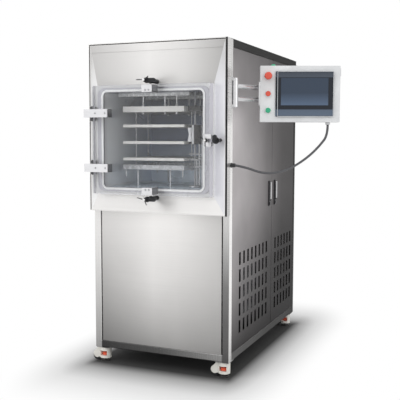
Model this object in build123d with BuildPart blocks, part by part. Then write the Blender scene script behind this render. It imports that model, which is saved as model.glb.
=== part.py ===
"""Pilot freeze dryer: cabinet on levelling castors, glazed chamber door, service doors, control arm."""

from build123d import *
import math
import os

os.makedirs("parts", exist_ok=True)

# ---------------------------------------------------------------- cabinet
body_w = 780.0
body_d = 1200.0
floor_gap = 85.0            # floor to the underside of the frame
body_top = 1710.0
tube = 38.0
tube_wall = 2.0
tube_round = 5.0
sheet = 1.5
roof_t = 2.0
seam = 3.0                  # gap round doors and panels
centre_post_y = 700.0       # seam between the two service doors
mid_rail_drop = 869.0       # middle rail below the top of the cabinet
mid_rail_z = body_top - mid_rail_drop
chamber_rail_y = 330.0
trap_rail_y = 930.0

# hood and fascia on the upper half of the front
hood_z = mid_rail_z - seam
hood_d = 45.0
hood_wall = 4.0
shadow_gap = 5.0
hood_foot = 4.0
fascia_inset = 15.0         # how far the sloping faces fall back to the chamber mouth
fascia_t = 1.5
fascia_lip = 3.0            # width of the flat outer edge of the fascia
fascia_gap = 3.0            # fascia to the edge of the door
post_clear = 4.0            # and round the clamp posts
panel_gap = 6.0
panel_set_back = 3.0
fold = 18.0                 # depth of folded sheet edges
cowl_d = 130.0
cowl_h = 130.0
cowl_drop = 20.0
cowl_side = 4.0

# ---------------------------------------------------------------- chamber
door_left = 45.0            # cabinet side to the hinge edge of the door
door_right = 77.0           # cabinet side to the latch edge of the door
door_h = 559.0
door_t = 45.0
door_round = 3.0
door_drop = 497.5           # middle of the door below the top of the cabinet
door_mid_z = body_top - door_drop
door_bevel = 2.0
rim_in = 12.5               # sealing rim inside the edge of the door, at the sides
rim_in_z = 11.0             # and at the top and bottom
rim_round = 40.0
rim_proud = 9.0             # sealing rim stands this far off the flange plate
rim_step = 5.0              # and this far out of the fascia's mouth
gasket_in = 24.0            # seal inside the edge of the sealing rim, at the sides
gasket_in_z = 9.5           # and at the top and bottom
gasket_band = 11.0
gasket_t = 3.0
gasket_round = 34.0
mouth_in = 12.0             # chamber wall inside the outer edge of the seal
mouth_round = 20.0
flange_side = 14.0          # flange plate to the side of the cabinet
flange_h = 645.0
flange_t = 26.0
flange_round = 10.0
chamber_wall = 5.0
chamber_deep = 520.0
chamber_foot = 40.0
foot_inset = 105.0          # chamber feet from its side walls
port_d = 100.0
fit = 0.3                   # clearance between faces that part or turn

# shelves
shelf_side = 56.0           # chamber wall to the shelves, at the left
manifold_room = 149.0       # and at the right
shelf_deep = 400.0
shelf_t = 14.0
top_shelf_t = 29.0
shelf_front = 70.0
shelf_pitch = 87.5
top_shelf_up = 161.5        # top shelf above the middle of the door
top_shelf_z = door_mid_z + top_shelf_up
shelf_frame_t = 24.0
frame_band = 25.0
frame_drop = 43.0           # lowest shelf to the frame under it
rod_d = 6.0
rod_in = 12.0               # rods from the side edges of the shelves
rod_spacing = 144.0
nut_rim = 3.0               # nuts and collars stand this far out of their rods
hanger_d = 8.0
hanger_spots = (-78.0, 50.0, 118.0)
hanger_in = 42.0            # hangers from the front and rear edges of the shelves
carrier_w = 30.0
carrier_drop = 16.5
carrier_end = 14.0          # left chamber wall to the carrier bars
carrier_over = 17.0         # reach of the carrier bars past the shelves, at the right
leg_d = 8.0
leg_off = 95.0
corner_bolt = 36.0
collar_h = 6.0

# hoses, valve body and pipes beside the shelves
pipe_d = 10.0
block_w = 70.0
block_d = 30.0
block_h = 26.0
block_up = 164.5            # pipe block above the middle of the door
block_z = door_mid_z + block_up
valve_d = 64.0
valve_h = 97.0
valve_up = 28.5
valve_z = door_mid_z + valve_up
valve_in = 114.0            # valve body to the right chamber wall
manifold_y = 134.0
fitting_d = 28.0
fitting_neck = 14.0
fitting_h = 73.0
fitting_side = 14.0
fitting_front = 32.0
cross_drops = (72.5, 102.5, 140.5)  # cross pipes below the middle of the door
cross_len = 66.0
header_in = 102.0           # rear header to the right chamber wall
header_y = 330.0
header_d = 24.0
header_drop = 30.0
hose_d = 9.0
hose_bend = 14.0
hose_y = 190.0
hose_reaches = (52.0, 36.0, 20.0)
coil_d = 56.0

# hinges of the chamber door
arm_len = 143.0
arm_h = 42.0
arm_t = 45.0
arm_round = 6.0
hinge_out = 16.0            # pin to the hinge edge of the door
hinge_eye = 26.0
hinge_drop = 4.0            # hinges below the middle of the door
hinge_spacing = 281.0
pin_d = 10.0
pin_head = 3.0
pin_fit = 0.05
bracket_ear = 15.0
bracket_clear = 18.0        # pin to the back plate of the bracket

# swing clamps
lug_w = 57.0
lug_h = 36.0
lug_deep = 67.0
lug_in = 6.0                # lugs from the top and bottom edges of the door
lug_side = 20.0             # lugs from the middle of the door
lug_round = 3.0
side_lug_w = 36.0
side_lug_h = 60.0
side_lug_deep = 20.0
side_lug_over = 16.0        # overhang past the latch edge of the door
side_lug_slot = 17.0
side_lug_slot_deep = 15.5
side_lug_round = 6.0
clamp_side = 16.0           # top and bottom clamps, from the middle of the door
post_d = 12.0
stud_d = 8.0                # thread for the hand nut
post_base_d = 22.0
post_base_len = 68.0
post_off = 16.0             # post to the edge of the door
side_post_off = 37.0        # and at the latch edge
side_post_d = 14.0
side_post_len = 22.0
side_cone_d = 34.0
side_cone_len = 44.0
clamp_collar_d = 29.0
clamp_collar_t = 6.0
clamp_body_d = 24.0
clamp_body_len = 36.0
clamp_neck_d = 20.0
finger_t = 8.0
finger_eye = 22.0
side_finger_eye = 26.0
finger_taper = 0.8          # width of the finger's tongue, as a share of its eye
finger_len = 46.0
side_finger_len = 17.0
side_cap_d = 17.0
side_cap_t = 5.0
side_stud_in = 22.0         # hand nut's stud from the outer edge of the side lug
side_stud_shoulder = 14.0
nut_d = 20.0
nut_flange_t = 4.0
nut_body_d = 14.0
nut_len = 22.0
nut_end = 3.0               # closed end of the hand nut's bore
rod_handle_d = 5.0
rod_handle_lens = (34.0, 24.0)
rod_handle_tilt = 0.12

# ---------------------------------------------------------------- service doors
side_door_t = 20.0
side_door_round = 3.0
door_clear = 2.0            # service doors to the frame behind them
vent_cols = 8
rear_vent_cols = 6
vent_rows = 5
vent_pitch_y = 64.5
vent_pitch_z = 90.0
vent_w = 28.0
vent_h = 67.0
vent_round = 3.0
vent_bottom = 205.0
vent_edge = 100.0           # first vent column to the outer edge of its door
rear_vent_edge = 62.0
pivot_in = 6.0              # pivot pins in from the face and the edge of the door
pivot_d = 6.0
pivot_reach = 8.0           # into the rails
pivot_root = 12.0           # and into the door
lock_z = 905.0
lock_h = 146.0
lock_w = 28.0
lock_t = 8.0
lock_rim = 4.0
lock_floor = 1.5
lock_round = 6.0
lock_key_d = 18.0
lock_key_up = 14.0
lock_key_proud = 3.0
lock_from_seam = 54.0
lever_h = 112.0
lever_t = 12.0
lever_round = 3.0

# ---------------------------------------------------------------- control arm and box
arm_pivot_out = 22.0        # from the side of the cabinet
arm_pivot_back = 12.0       # from the front of the frame
arm_drop = 263.0            # middle of the arm below the top of the cabinet
arm_z = body_top - arm_drop
arm_bracket_h = 152.0
barrel_d = 22.0
barrel_h = 116.0
bracket_t = 8.0
arm_tube_d = 25.0
arm_tube_gap = 60.0
box_w = 400.0
box_h = 280.0
box_d = 80.0
box_wall = 2.0
box_edge = 1.5
box_drop = 405.0            # underside of the box below the top of the cabinet
box_z = body_top - box_drop
box_out = 110.0             # front left edge, from the side of the cabinet
box_back = 128.0            # front left edge, from the front of the frame
box_turn = 21.0             # degrees
box_plate = 6.0
hmi_w = 290.0
hmi_h = 225.0
hmi_x = 77.0
hmi_z = 27.0
hmi_t = 7.0
screen_w = 237.0
screen_h = 137.0
screen_z = 56.0
button_x = 40.0
button_heights = (58.0, 141.0, 229.0)
button_d = 22.0
button_head_d = 26.0
button_head_t = 6.0
collar_d = 30.0
estop_d = 38.0
estop_t = 20.0
lamp_x = 67.0
lamp_d = 24.0
lamp_back = 34.0
gland_drop = 621.0
gland_z = body_top - gland_drop
gland_d = 24.0
cable_d = 12.0
box_gland_x = 346.0
box_gland_h = 12.0
port_h = 38.0
port_t = 5.0

# ---------------------------------------------------------------- castors
castor_inset = 40.0
castor_plate = 72.0
castor_plate_t = 5.0
wheel_d = 50.0
wheel_w = 23.0
wheel_off = 48.0
wheel_lift = 1.5
cup_d = 62.0
pad_d = 50.0
pad_t = 9.0
stem_d = 12.0
thumb_d = 36.0
thumb_t = 14.0
thumb_z = 41.0
castor_wall = 3.0
foot_travel = 8.0

# ---------------------------------------------------------------- machinery
fan_d = 260.0
fan_z = 330.0
fan_y = 470.0
fin_block = 300.0
fin_deep = 60.0
shroud_deep = 45.0
fin_pitch = 12.0
fin_gap = 5.0
fin_rim = 15.0
fan_gap = 30.0              # service door to the condenser
fan_hub_d = 56.0
fan_hub_t = 22.0
fan_shaft_d = 10.0
blade_w = 38.0
blade_t = 2.0
blade_turn = 28.0
motor_d = 60.0
motor_t = 12.0
trap_side = 60.0            # trap, port and pump to the right of the middle
trap_d = 300.0
trap_wall = 6.0
trap_round = 12.0
trap_neck = 70.0
trap_neck_d = 108.0
saddle_w = 180.0
saddle_drop = 60.0
vacuum_line_d = 36.0
trap_len = 430.0
trap_drop = 122.5           # middle of the cold trap below the middle of the door
trap_z = door_mid_z - trap_drop
compressor_side = 190.0     # compressor to the left of the middle
compressor_d = 190.0
compressor_h = 260.0
compressor_round = 40.0
compressor_plate_w = 240.0
compressor_plate_d = 180.0
compressor_plate_t = 8.0
compressor_band = 14.0
compressor_band_z = 120.0
pump_back = 330.0           # middle of the pump case to the rear of the cabinet
pump_w = 150.0
pump_case_h = 180.0
pump_case_len = 170.0
pump_stand = 40.0
pump_round = 14.0
pump_motor_len = 245.0
pump_foot_w = 170.0
pump_foot_d = 30.0
pump_foot_h = 55.0
pump_foot_gap = 300.0
pump_h = 250.0
pump_port_off = 60.0

# ---------------------------------------------------------------- places worked out from the sizes
turn = math.radians(box_turn)
box_along = Vector(math.cos(turn), math.sin(turn), 0)
box_normal = Vector(math.sin(turn), -math.cos(turn), 0)
panel_reach = box_out + box_w * box_along.X - box_edge * (box_along.X + box_along.Y - 1)
castor_reach = wheel_off + wheel_d / 2 - castor_inset
nut_tip = hood_d - fascia_inset + rim_step + gasket_t + door_t + lug_deep + fit * 4 + finger_t + nut_len

left_x = (castor_reach - body_w - panel_reach) / 2
mid_x = left_x + body_w / 2
right_x = left_x + body_w
front_y = -(body_d + cowl_d - nut_tip) / 2
back_y = front_y + body_d
frame_z = floor_gap
rail_top = frame_z + tube
top_rail = body_top - tube
roof_z = body_top + roof_t
rim_y = front_y - hood_d                    # front edge of the hood and fascia
landing_y = rim_y + fascia_inset            # inner edge of the fascia
seal_y = landing_y - rim_step               # face of the sealing rim
flange_face = seal_y + rim_proud
door_back = seal_y - gasket_t - fit
door_face = door_back - door_t
door_bottom = door_mid_z - door_h / 2
door_top = door_mid_z + door_h / 2
door_w = body_w - door_left - door_right
door_x = mid_x + (door_left - door_right) / 2
door_edge = door_x + door_w / 2             # latch edge of the door
rim_w = door_w - 2 * rim_in
rim_h = door_h - 2 * rim_in_z
gasket_w = rim_w - 2 * gasket_in
gasket_h = rim_h - 2 * gasket_in_z
mouth_w = gasket_w - 2 * mouth_in
mouth_h = gasket_h - 2 * mouth_in
wall_left = door_x - mouth_w / 2
wall_right = door_x + mouth_w / 2
floor_in = door_mid_z - mouth_h / 2
roof_in = door_mid_z + mouth_h / 2
shelf_w = mouth_w - shelf_side - manifold_room
flange_w = body_w - 2 * flange_side
trap_x = mid_x + trap_side
hinge_x = door_x - door_w / 2 - hinge_out
hinge_y = door_back - door_t / 2
hinge_mid_z = door_mid_z - hinge_drop
hinge_heights = (hinge_mid_z - hinge_spacing / 2, hinge_mid_z + hinge_spacing / 2)
side_stud_x = door_edge + side_lug_over - side_stud_in
pivot_x = right_x + arm_pivot_out
pivot_y = front_y + arm_pivot_back
seam_y = front_y + centre_post_y
door_pivots = (front_y + tube + seam + pivot_in, back_y - tube - seam - pivot_in)
castor_spots = {
    "front_left": (left_x + castor_inset, front_y + castor_inset),
    "front_right": (right_x - castor_inset, front_y + castor_inset),
    "rear_left": (left_x + castor_inset, back_y - castor_inset),
    "rear_right": (right_x - castor_inset, back_y - castor_inset),
}


# ---------------------------------------------------------------- helpers
def span(x, y, z, mode=Mode.ADD):
    """Add or cut a block between pairs of limits."""
    with Locations(((x[0] + x[1]) / 2, (y[0] + y[1]) / 2, (z[0] + z[1]) / 2)):
        Box(x[1] - x[0], y[1] - y[0], z[1] - z[0], mode=mode)


def facing(y):
    """Plane across the cabinet at depth y, seen from the front: x right, y up."""
    return Plane(origin=(0, y, 0), x_dir=(1, 0, 0), z_dir=(0, -1, 0))


def beside(x):
    """Plane along the cabinet at x, seen from the right: x to the rear, y up."""
    return Plane(origin=(x, 0, 0), x_dir=(0, 1, 0), z_dir=(1, 0, 0))


def bar(x, z, y, d, length):
    """Round bar from depth y towards the front."""
    with BuildSketch(facing(y)) as outline:
        with Locations((x, z)):
            Circle(d / 2)
    extrude(outline.sketch, amount=length)


def upright(x, y, z, d, mode=Mode.ADD):
    """Round bar or bore between two heights."""
    with BuildSketch(Plane.XY.offset(z[0])) as outline:
        with Locations((x, y)):
            Circle(d / 2)
    extrude(outline.sketch, amount=z[1] - z[0], mode=mode)


def finish(part, name):
    """Label a finished piece and write its file."""
    part.label = name
    export_step(part, f"parts/{name}.step")


def tube_z(x, y, z, size=tube):
    """Upright square tube with its corner at x, y."""
    with BuildSketch(Plane.XY.offset(z[0])) as outline:
        with Locations((x + size / 2, y + size / 2)):
            RectangleRounded(size, size, tube_round)
    extrude(outline.sketch, amount=z[1] - z[0])


def tube_x(x, y, z, size=tube):
    """Square tube across the cabinet with its corner at y, z."""
    with BuildSketch(beside(x[0])) as outline:
        with Locations((y + size / 2, z + size / 2)):
            RectangleRounded(size, size, tube_round)
    extrude(outline.sketch, amount=x[1] - x[0])


# ---------------------------------------------------------------- frame
def end_frame(y, rails, name):
    """Welded ring of two posts and cross tubes, bores open into each other, with castor plates below."""
    posts = (left_x, right_x - tube)
    with BuildPart() as ring:
        for x in posts:
            tube_z(x, y, (frame_z, body_top))
        for z in rails:
            tube_x((left_x + tube / 2, right_x - tube / 2), y, z)
        inner = (y + tube_wall, y + tube - tube_wall)
        for x in posts:
            span((x + tube_wall, x + tube - tube_wall), inner, (frame_z, body_top - tube_wall), Mode.SUBTRACT)
        for z in rails:
            bore = (z + tube_wall, z + tube - tube_wall)
            span((left_x + tube_wall, right_x - tube_wall), inner, bore, Mode.SUBTRACT)
        for (x, plate_y) in castor_spots.values():
            if abs(plate_y - y) < castor_plate:
                span(
                    (x - castor_plate / 2, x + castor_plate / 2),
                    (plate_y - castor_plate / 2, plate_y + castor_plate / 2),
                    (frame_z - castor_plate_t, frame_z),
                )
    finish(ring.part, name)


def frame_rails():
    """Side tubes between the two rings, the centre posts behind the door seam and the cross bearers."""
    ends = (front_y + tube, back_y - tube)
    with BuildPart() as rails:
        for x in (left_x, right_x - tube):
            for z in (frame_z, top_rail):
                with BuildSketch(Plane(origin=(0, ends[0], 0), x_dir=(1, 0, 0), z_dir=(0, -1, 0))):
                    with Locations((x + tube / 2, z + tube / 2)):
                        RectangleRounded(tube, tube, tube_round)
                        RectangleRounded(
                            tube - 2 * tube_wall,
                            tube - 2 * tube_wall,
                            tube_round - tube_wall,
                            mode=Mode.SUBTRACT,
                        )
                extrude(amount=ends[0] - ends[1])
        # centre posts and middle rails, set in behind the side sheets, and the bearers across
        depth = tube - side_door_t - door_clear
        level = (mid_rail_z, mid_rail_z + tube)
        for x in (left_x + tube - depth, right_x - tube):
            span((x, x + depth), (seam_y - tube / 2, seam_y + tube / 2), (rail_top, top_rail))
            span((x, x + depth), ends, level)
        for y in (front_y + chamber_rail_y, front_y + trap_rail_y):
            span((left_x + tube - depth, right_x - tube + depth), (y, y + tube), level)
        for y in (front_y + chamber_rail_y, front_y + trap_rail_y):
            span(
                (left_x + tube, right_x - tube),
                (y + tube_wall, y + tube - tube_wall),
                (level[0] + tube_wall, level[1] - tube_wall),
                Mode.SUBTRACT,
            )
        # sockets for the pivot pins of the service doors
        for y in door_pivots:
            for z in ((rail_top - pivot_root, rail_top + 1), (top_rail - 1, top_rail + pivot_root)):
                upright(right_x - pivot_in, y, z, pivot_d + 2 * pin_fit, Mode.SUBTRACT)
    finish(rails.part, "frame_rails")


def base_pan():
    """Flat floor sheet on the bottom tubes, cut away round the posts."""
    reach = side_door_t + 2 * door_clear
    with BuildPart() as pan:
        span(
            (left_x + reach, right_x - reach),
            (front_y + reach, back_y - reach),
            (rail_top, rail_top + sheet),
        )
        for x in (left_x, right_x - tube):
            for y in (front_y, back_y - tube):
                span((x - 1, x + tube + 1), (y - 1, y + tube + 1), (frame_z, body_top), Mode.SUBTRACT)
            span(
                (x - 1, x + tube + 1),
                (seam_y - tube / 2 - 1, seam_y + tube / 2 + 1),
                (frame_z, body_top),
                Mode.SUBTRACT,
            )
    finish(pan.part, "base_pan")


# ---------------------------------------------------------------- outer sheets
def front_panel():
    """Folded panel between the front posts, open at the back, standing on the bottom tube."""
    x = (left_x + tube + panel_gap, right_x - tube - panel_gap)
    z = (rail_top, hood_z - seam)
    y = (front_y + panel_set_back, front_y + panel_set_back + fold)
    with BuildPart() as panel:
        span(x, y, z)
        fillet(panel.edges().filter_by(Axis.Z).group_by(Axis.Y)[0], radius=2)
        span(
            (x[0] + sheet, x[1] - sheet),
            (y[0] + sheet, y[1] + 1),
            (z[0] + sheet, z[1] - sheet),
            Mode.SUBTRACT,
        )
    finish(panel.part, "front_panel")


def hood():
    """Deep folded ring round the fascia, its front edge rounded over."""
    with BuildPart() as ring:
        span((left_x, right_x), (rim_y, front_y), (hood_z, roof_z))
        fillet(ring.edges().filter_by(Axis.Z).group_by(Axis.Y)[0], radius=2)
        span(
            (left_x + hood_wall, right_x - hood_wall),
            (rim_y - 1, front_y + 1),
            (hood_z + hood_wall, roof_z - hood_wall),
            Mode.SUBTRACT,
        )
    finish(ring.part, "hood")


def fascia():
    """Picture-frame sheet that slopes back to the chamber mouth, with deep returns to the frame."""
    outer_w = body_w - 2 * (hood_wall + shadow_gap)
    low = hood_z + hood_foot
    high = roof_z - hood_wall - shadow_gap
    mid_z = (low + high) / 2
    open_w = door_w + 2 * fascia_gap
    open_h = door_h + 2 * fascia_gap
    inner_w = outer_w - 2 * fascia_t
    inner_h = high - low - 2 * fascia_t
    back = fascia_t + 1.0
    with BuildPart() as frame:
        with BuildSketch(facing(front_y)):
            with Locations((mid_x, mid_z)):
                Rectangle(outer_w, high - low)
        extrude(amount=hood_d)
        # sloping face
        with BuildSketch(facing(rim_y)):
            with Locations((mid_x, mid_z)):
                Rectangle(outer_w - 2 * fascia_lip, high - low - 2 * fascia_lip)
        with BuildSketch(facing(landing_y)):
            with Locations((door_x, door_mid_z)):
                Rectangle(open_w, open_h)
        loft(mode=Mode.SUBTRACT)
        # hollow behind the face
        with BuildSketch(facing(rim_y + back)):
            with Locations((mid_x, mid_z)):
                Rectangle(inner_w - 2 * fascia_lip, inner_h - 2 * fascia_lip)
        with BuildSketch(facing(landing_y + back)):
            with Locations((door_x, door_mid_z)):
                Rectangle(open_w - 2 * fascia_t, open_h - 2 * fascia_t)
        loft(mode=Mode.SUBTRACT)
        with BuildSketch(facing(front_y + 1)):
            with Locations((mid_x, mid_z)):
                Rectangle(inner_w, inner_h)
        extrude(amount=front_y + 1 - landing_y - back, mode=Mode.SUBTRACT)
        # mouth, and cut-outs for the hinge brackets and clamp posts
        with BuildSketch(facing(front_y + 1)):
            with Locations((door_x, door_mid_z)):
                Rectangle(open_w, open_h)
        extrude(amount=hood_d + 2, mode=Mode.SUBTRACT)
        half_x = hinge_eye / 2 + 1
        half_z = arm_h / 2 + bracket_ear + 1
        for z in hinge_heights:
            span(
                (hinge_x - half_x, hinge_x + half_x),
                (rim_y - 1, front_y + 1),
                (z - half_z, z + half_z),
                Mode.SUBTRACT,
            )
        for (x, z), d in zip(clamp_spots(), (post_base_d, post_base_d, side_post_d)):
            with BuildSketch(facing(front_y + 1)):
                with Locations((x, z)):
                    Circle(d / 2 + post_clear)
            extrude(amount=hood_d + 2, mode=Mode.SUBTRACT)
    finish(frame.part, "fascia")


def left_panel():
    """Fixed folded panel filling the left side between the tubes."""
    x = (left_x, left_x + side_door_t)
    y = (front_y + tube, back_y - tube)
    z = (rail_top, top_rail)
    with BuildPart() as panel:
        span(x, y, z)
        span(
            (x[0] + sheet, x[1] + 1),
            (y[0] + sheet, y[1] - sheet),
            (z[0] + sheet, z[1] - sheet),
            Mode.SUBTRACT,
        )
    finish(panel.part, "left_panel")


def rear_panel():
    """Folded rear panel with exhaust slots near the top under a cowl that is open below."""
    x = (left_x + tube, right_x - tube)
    z = (rail_top, top_rail)
    cowl_top = body_top - cowl_drop
    with BuildPart() as panel:
        span(x, (back_y - fold, back_y), z)
        span(
            (x[0] + sheet, x[1] - sheet),
            (back_y - fold - 1, back_y - sheet),
            (z[0] + sheet, z[1] - sheet),
            Mode.SUBTRACT,
        )
        outer = (left_x + cowl_side, right_x - cowl_side)
        span(outer, (back_y, back_y + cowl_d), (cowl_top - cowl_h, cowl_top))
        span(
            (outer[0] + sheet, outer[1] - sheet),
            (back_y + sheet, back_y + cowl_d - sheet),
            (cowl_top - cowl_h - 1, cowl_top - sheet),
            Mode.SUBTRACT,
        )
        with BuildSketch(facing(back_y + sheet + 1)):
            with Locations((mid_x, cowl_top - cowl_h / 2 - tube / 2)):
                with GridLocations(60, 1, 10, 1):
                    SlotOverall(60, 14, rotation=90)
        extrude(amount=2 * sheet + 2, mode=Mode.SUBTRACT)
    finish(panel.part, "rear_panel")


def roof_panel():
    """Flat roof sheet on the top tubes."""
    with BuildPart() as roof:
        span((left_x, right_x), (front_y, back_y), (body_top, roof_z))
    finish(roof.part, "roof_panel")


# ---------------------------------------------------------------- chamber
def chamber():
    """Welded vacuum chamber: flange plate with a raised sealing rim, and the deep box behind it."""
    inner = front_y + chamber_deep
    outer = inner + chamber_wall
    with BuildPart() as vessel:
        with BuildSketch(facing(front_y)):
            with Locations((mid_x, door_mid_z)):
                RectangleRounded(flange_w, flange_h, flange_round)
        extrude(amount=front_y - flange_face)
        with BuildSketch(facing(flange_face)):
            with Locations((door_x, door_mid_z)):
                RectangleRounded(rim_w, rim_h, rim_round)
        extrude(amount=rim_proud)
        with BuildSketch(facing(outer)):
            with Locations((door_x, door_mid_z)):
                RectangleRounded(mouth_w + 2 * chamber_wall, mouth_h + 2 * chamber_wall, mouth_round)
        extrude(amount=outer - front_y)
        with BuildSketch(facing(inner)):
            with Locations((door_x, door_mid_z)):
                RectangleRounded(mouth_w, mouth_h, mouth_round - chamber_wall)
        extrude(amount=inner - seal_y + 1, mode=Mode.SUBTRACT)
        # vapour port to the cold trap
        with BuildSketch(facing(outer + 1)):
            with Locations((trap_x, trap_z)):
                Circle(port_d / 2)
        extrude(amount=chamber_wall + 2, mode=Mode.SUBTRACT)
        # feet down to the bearer
        for x in (wall_left + foot_inset, wall_right - foot_inset):
            span(
                (x - chamber_foot / 2, x + chamber_foot / 2),
                (front_y + chamber_rail_y, front_y + chamber_rail_y + tube),
                (mid_rail_z + tube, floor_in - chamber_wall),
            )
    finish(vessel.part, "chamber")


def door_gasket():
    """White seal on the sealing rim."""
    inner = gasket_round - gasket_band
    with BuildPart() as seal:
        with BuildSketch(facing(seal_y)):
            with Locations((door_x, door_mid_z)):
                RectangleRounded(gasket_w, gasket_h, gasket_round)
                RectangleRounded(
                    gasket_w - 2 * gasket_band, gasket_h - 2 * gasket_band, inner, mode=Mode.SUBTRACT
                )
        extrude(amount=gasket_t)
    finish(seal.part, "door_gasket")


shelf_x = wall_left + shelf_side + shelf_w / 2
shelf_y = front_y + shelf_front + shelf_deep / 2
shelf_levels = [top_shelf_z - i * shelf_pitch for i in range(4)]
shelf_thick = [top_shelf_t, shelf_t, shelf_t, shelf_t]
frame_shelf_z = shelf_levels[-1] - frame_drop
rod_spots = [
    (shelf_x + i * (shelf_w / 2 - rod_in), shelf_y + j * rod_spacing / 2) for i in (-1, 1) for j in (-1, 1)
]
hanger_rows = (shelf_y - shelf_deep / 2 + hanger_in, shelf_y + shelf_deep / 2 - hanger_in)
carrier_z = roof_in - carrier_drop


def shelf_plates():
    """Four hollow shelves, the top one thick, bored for the rods that carry them."""
    with BuildPart() as plates:
        for z, thick in zip(shelf_levels, shelf_thick):
            with Locations((shelf_x, shelf_y, z)):
                Box(shelf_w, shelf_deep, thick)
            for x, y in rod_spots:
                upright(x, y, (z - thick, z + thick), rod_d + 2 * pin_fit, Mode.SUBTRACT)
        for x in hanger_spots:
            for y in hanger_rows:
                bore = (top_shelf_z - top_shelf_t, top_shelf_z + top_shelf_t)
                upright(shelf_x + x, y, bore, hanger_d + 2 * pin_fit, Mode.SUBTRACT)
    finish(plates.part, "shelf_plates")


def shelf_rack():
    """Bottom frame on legs, side rods with collars, and the two carrier bars with their hangers."""
    frame_low = frame_shelf_z - shelf_frame_t / 2
    frame_x = (shelf_w - frame_band) / 2
    frame_y = (shelf_deep - frame_band) / 2
    top = top_shelf_z + top_shelf_t / 2
    low = top_shelf_z - top_shelf_t / 2
    collar_d = rod_d + 2 * nut_rim
    hanger_nut = hanger_d + 2 * nut_rim
    with BuildPart() as rack:
        with Locations((shelf_x, shelf_y, frame_shelf_z)):
            Box(shelf_w, shelf_deep, shelf_frame_t)
            Box(
                shelf_w - 2 * frame_band, shelf_deep - 2 * frame_band, shelf_frame_t + 2, mode=Mode.SUBTRACT
            )
        for i in (-1, 1):
            for j in (-1, 1):
                upright(shelf_x + i * leg_off, shelf_y + j * frame_y, (floor_in, frame_low + 1), leg_d)
                bolt = (frame_low - corner_bolt, frame_low + 1)
                upright(shelf_x + i * frame_x, shelf_y + j * frame_y, bolt, leg_d)
        for x, y in rod_spots:
            bore = (frame_low - 1, frame_low + shelf_frame_t + 1)
            upright(x, y, bore, rod_d + 2 * pin_fit, Mode.SUBTRACT)
        # rods, their nuts under the frame, a collar under each shelf and the heads on top
        for x, y in rod_spots:
            upright(x, y, (frame_low - fit - collar_h, top + collar_h), rod_d)
            upright(x, y, (frame_low - fit - collar_h, frame_low - fit), collar_d)
            upright(x, y, (top, top + collar_h), collar_d)
            for z, thick in zip(shelf_levels, shelf_thick):
                upright(x, y, (z - thick / 2 - collar_h, z - thick / 2), collar_d)
        # carrier bars under the chamber roof, and the hangers down to the top shelf
        for y in hanger_rows:
            span(
                (wall_left + carrier_end, shelf_x + shelf_w / 2 + carrier_over),
                (y - carrier_w / 2, y + carrier_w / 2),
                (carrier_z, roof_in),
            )
            for x in hanger_spots:
                upright(shelf_x + x, y, (low - 2 * collar_h, carrier_z + 1), hanger_d)
                upright(shelf_x + x, y, (low - 2 * collar_h, low), hanger_nut)
                upright(shelf_x + x, y, (top, top + 2 * collar_h), hanger_nut)
    finish(rack.part, "shelf_rack")


manifold_x = wall_right - valve_in


def valve_stack():
    """Upright pipe from floor to roof with the valve body, block, fitting and cross pipes on it."""
    y = front_y + manifold_y
    upright(manifold_x, y, (floor_in, roof_in), pipe_d)
    upright(manifold_x, y, (valve_z - valve_h / 2, valve_z + valve_h / 2), valve_d)
    with Locations((manifold_x, y, block_z)):
        Box(block_w, block_d, block_h)
    for side in (-1, 1):
        with Locations((manifold_x - fitting_side, y - fitting_front, valve_z + side * fitting_h / 4)):
            if side < 0:
                Cone(fitting_d / 2, fitting_neck / 2, fitting_h / 2)
            else:
                Cone(fitting_neck / 2, fitting_d / 2, fitting_h / 2)
    for z in [door_mid_z - drop for drop in cross_drops]:
        with BuildSketch(beside(manifold_x - cross_len / 2)) as outline:
            with Locations((y, z)):
                Circle(hose_d / 2)
        extrude(outline.sketch, amount=cross_len)


def fluid_manifold():
    """Pipes and hoses beside the shelves: valve stack, rear header, three hoses and a coil."""
    edge = shelf_x + shelf_w / 2
    header_x = wall_right - header_in
    with BuildPart() as pipes:
        valve_stack()
        upright(header_x, front_y + header_y, (floor_in, roof_in - header_drop), header_d)
        for z in shelf_levels:
            with BuildSketch(beside(edge)) as outline:
                with Locations((front_y + header_y, z)):
                    Circle(hose_d / 2)
            extrude(outline.sketch, amount=header_x - edge)
        for z, reach in zip(shelf_levels[1:], hose_reaches):
            y = front_y + hose_y
            bend = ((edge, y, z), (edge + reach, y, z), (edge + reach, y, floor_in))
            with BuildLine() as path:
                FilletPolyline(*bend, radius=hose_bend)
            with BuildSketch(Plane(origin=path.line @ 0, z_dir=path.line % 0)) as outline:
                Circle(hose_d / 2)
            sweep(outline.sketch, path=path.line)
        with Locations((manifold_x, front_y + manifold_y, floor_in + hose_d / 2)):
            Torus(coil_d / 2, hose_d / 2)
    finish(pipes.part, "fluid_manifold")


# ---------------------------------------------------------------- chamber door
def chamber_door():
    """Thick clear door plate with polished bevels."""
    with BuildPart() as door:
        with BuildSketch(facing(door_back)):
            with Locations((door_x, door_mid_z)):
                RectangleRounded(door_w, door_h, door_round)
        extrude(amount=door_t)
        chamfer(door.faces().filter_by(Axis.Y).sort_by(Axis.Y)[0].outer_wire().edges(), length=door_bevel)
    finish(door.part, "chamber_door")


def door_hinge_arms():
    """Two steel blocks bolted on the door face, each with a leg back to an eye round the hinge pin."""
    left = hinge_x - hinge_eye / 2
    with BuildPart() as arms:
        for z in hinge_heights:
            span((left, left + arm_len), (door_face - arm_t, door_face), (z - arm_h / 2, z + arm_h / 2))
        fillet(arms.edges().filter_by(Axis.Z).group_by(Axis.Y)[0], radius=arm_round)
        for z in hinge_heights:
            level = (z - arm_h / 2, z + arm_h / 2)
            span((left, left + hinge_eye), (door_face - arm_round, hinge_y), level)
            upright(hinge_x, hinge_y, level, hinge_eye)
            upright(hinge_x, hinge_y, (level[0] - 1, level[1] + 1), pin_d + 2 * pin_fit, Mode.SUBTRACT)
    finish(arms.part, "door_hinge_arms")


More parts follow.
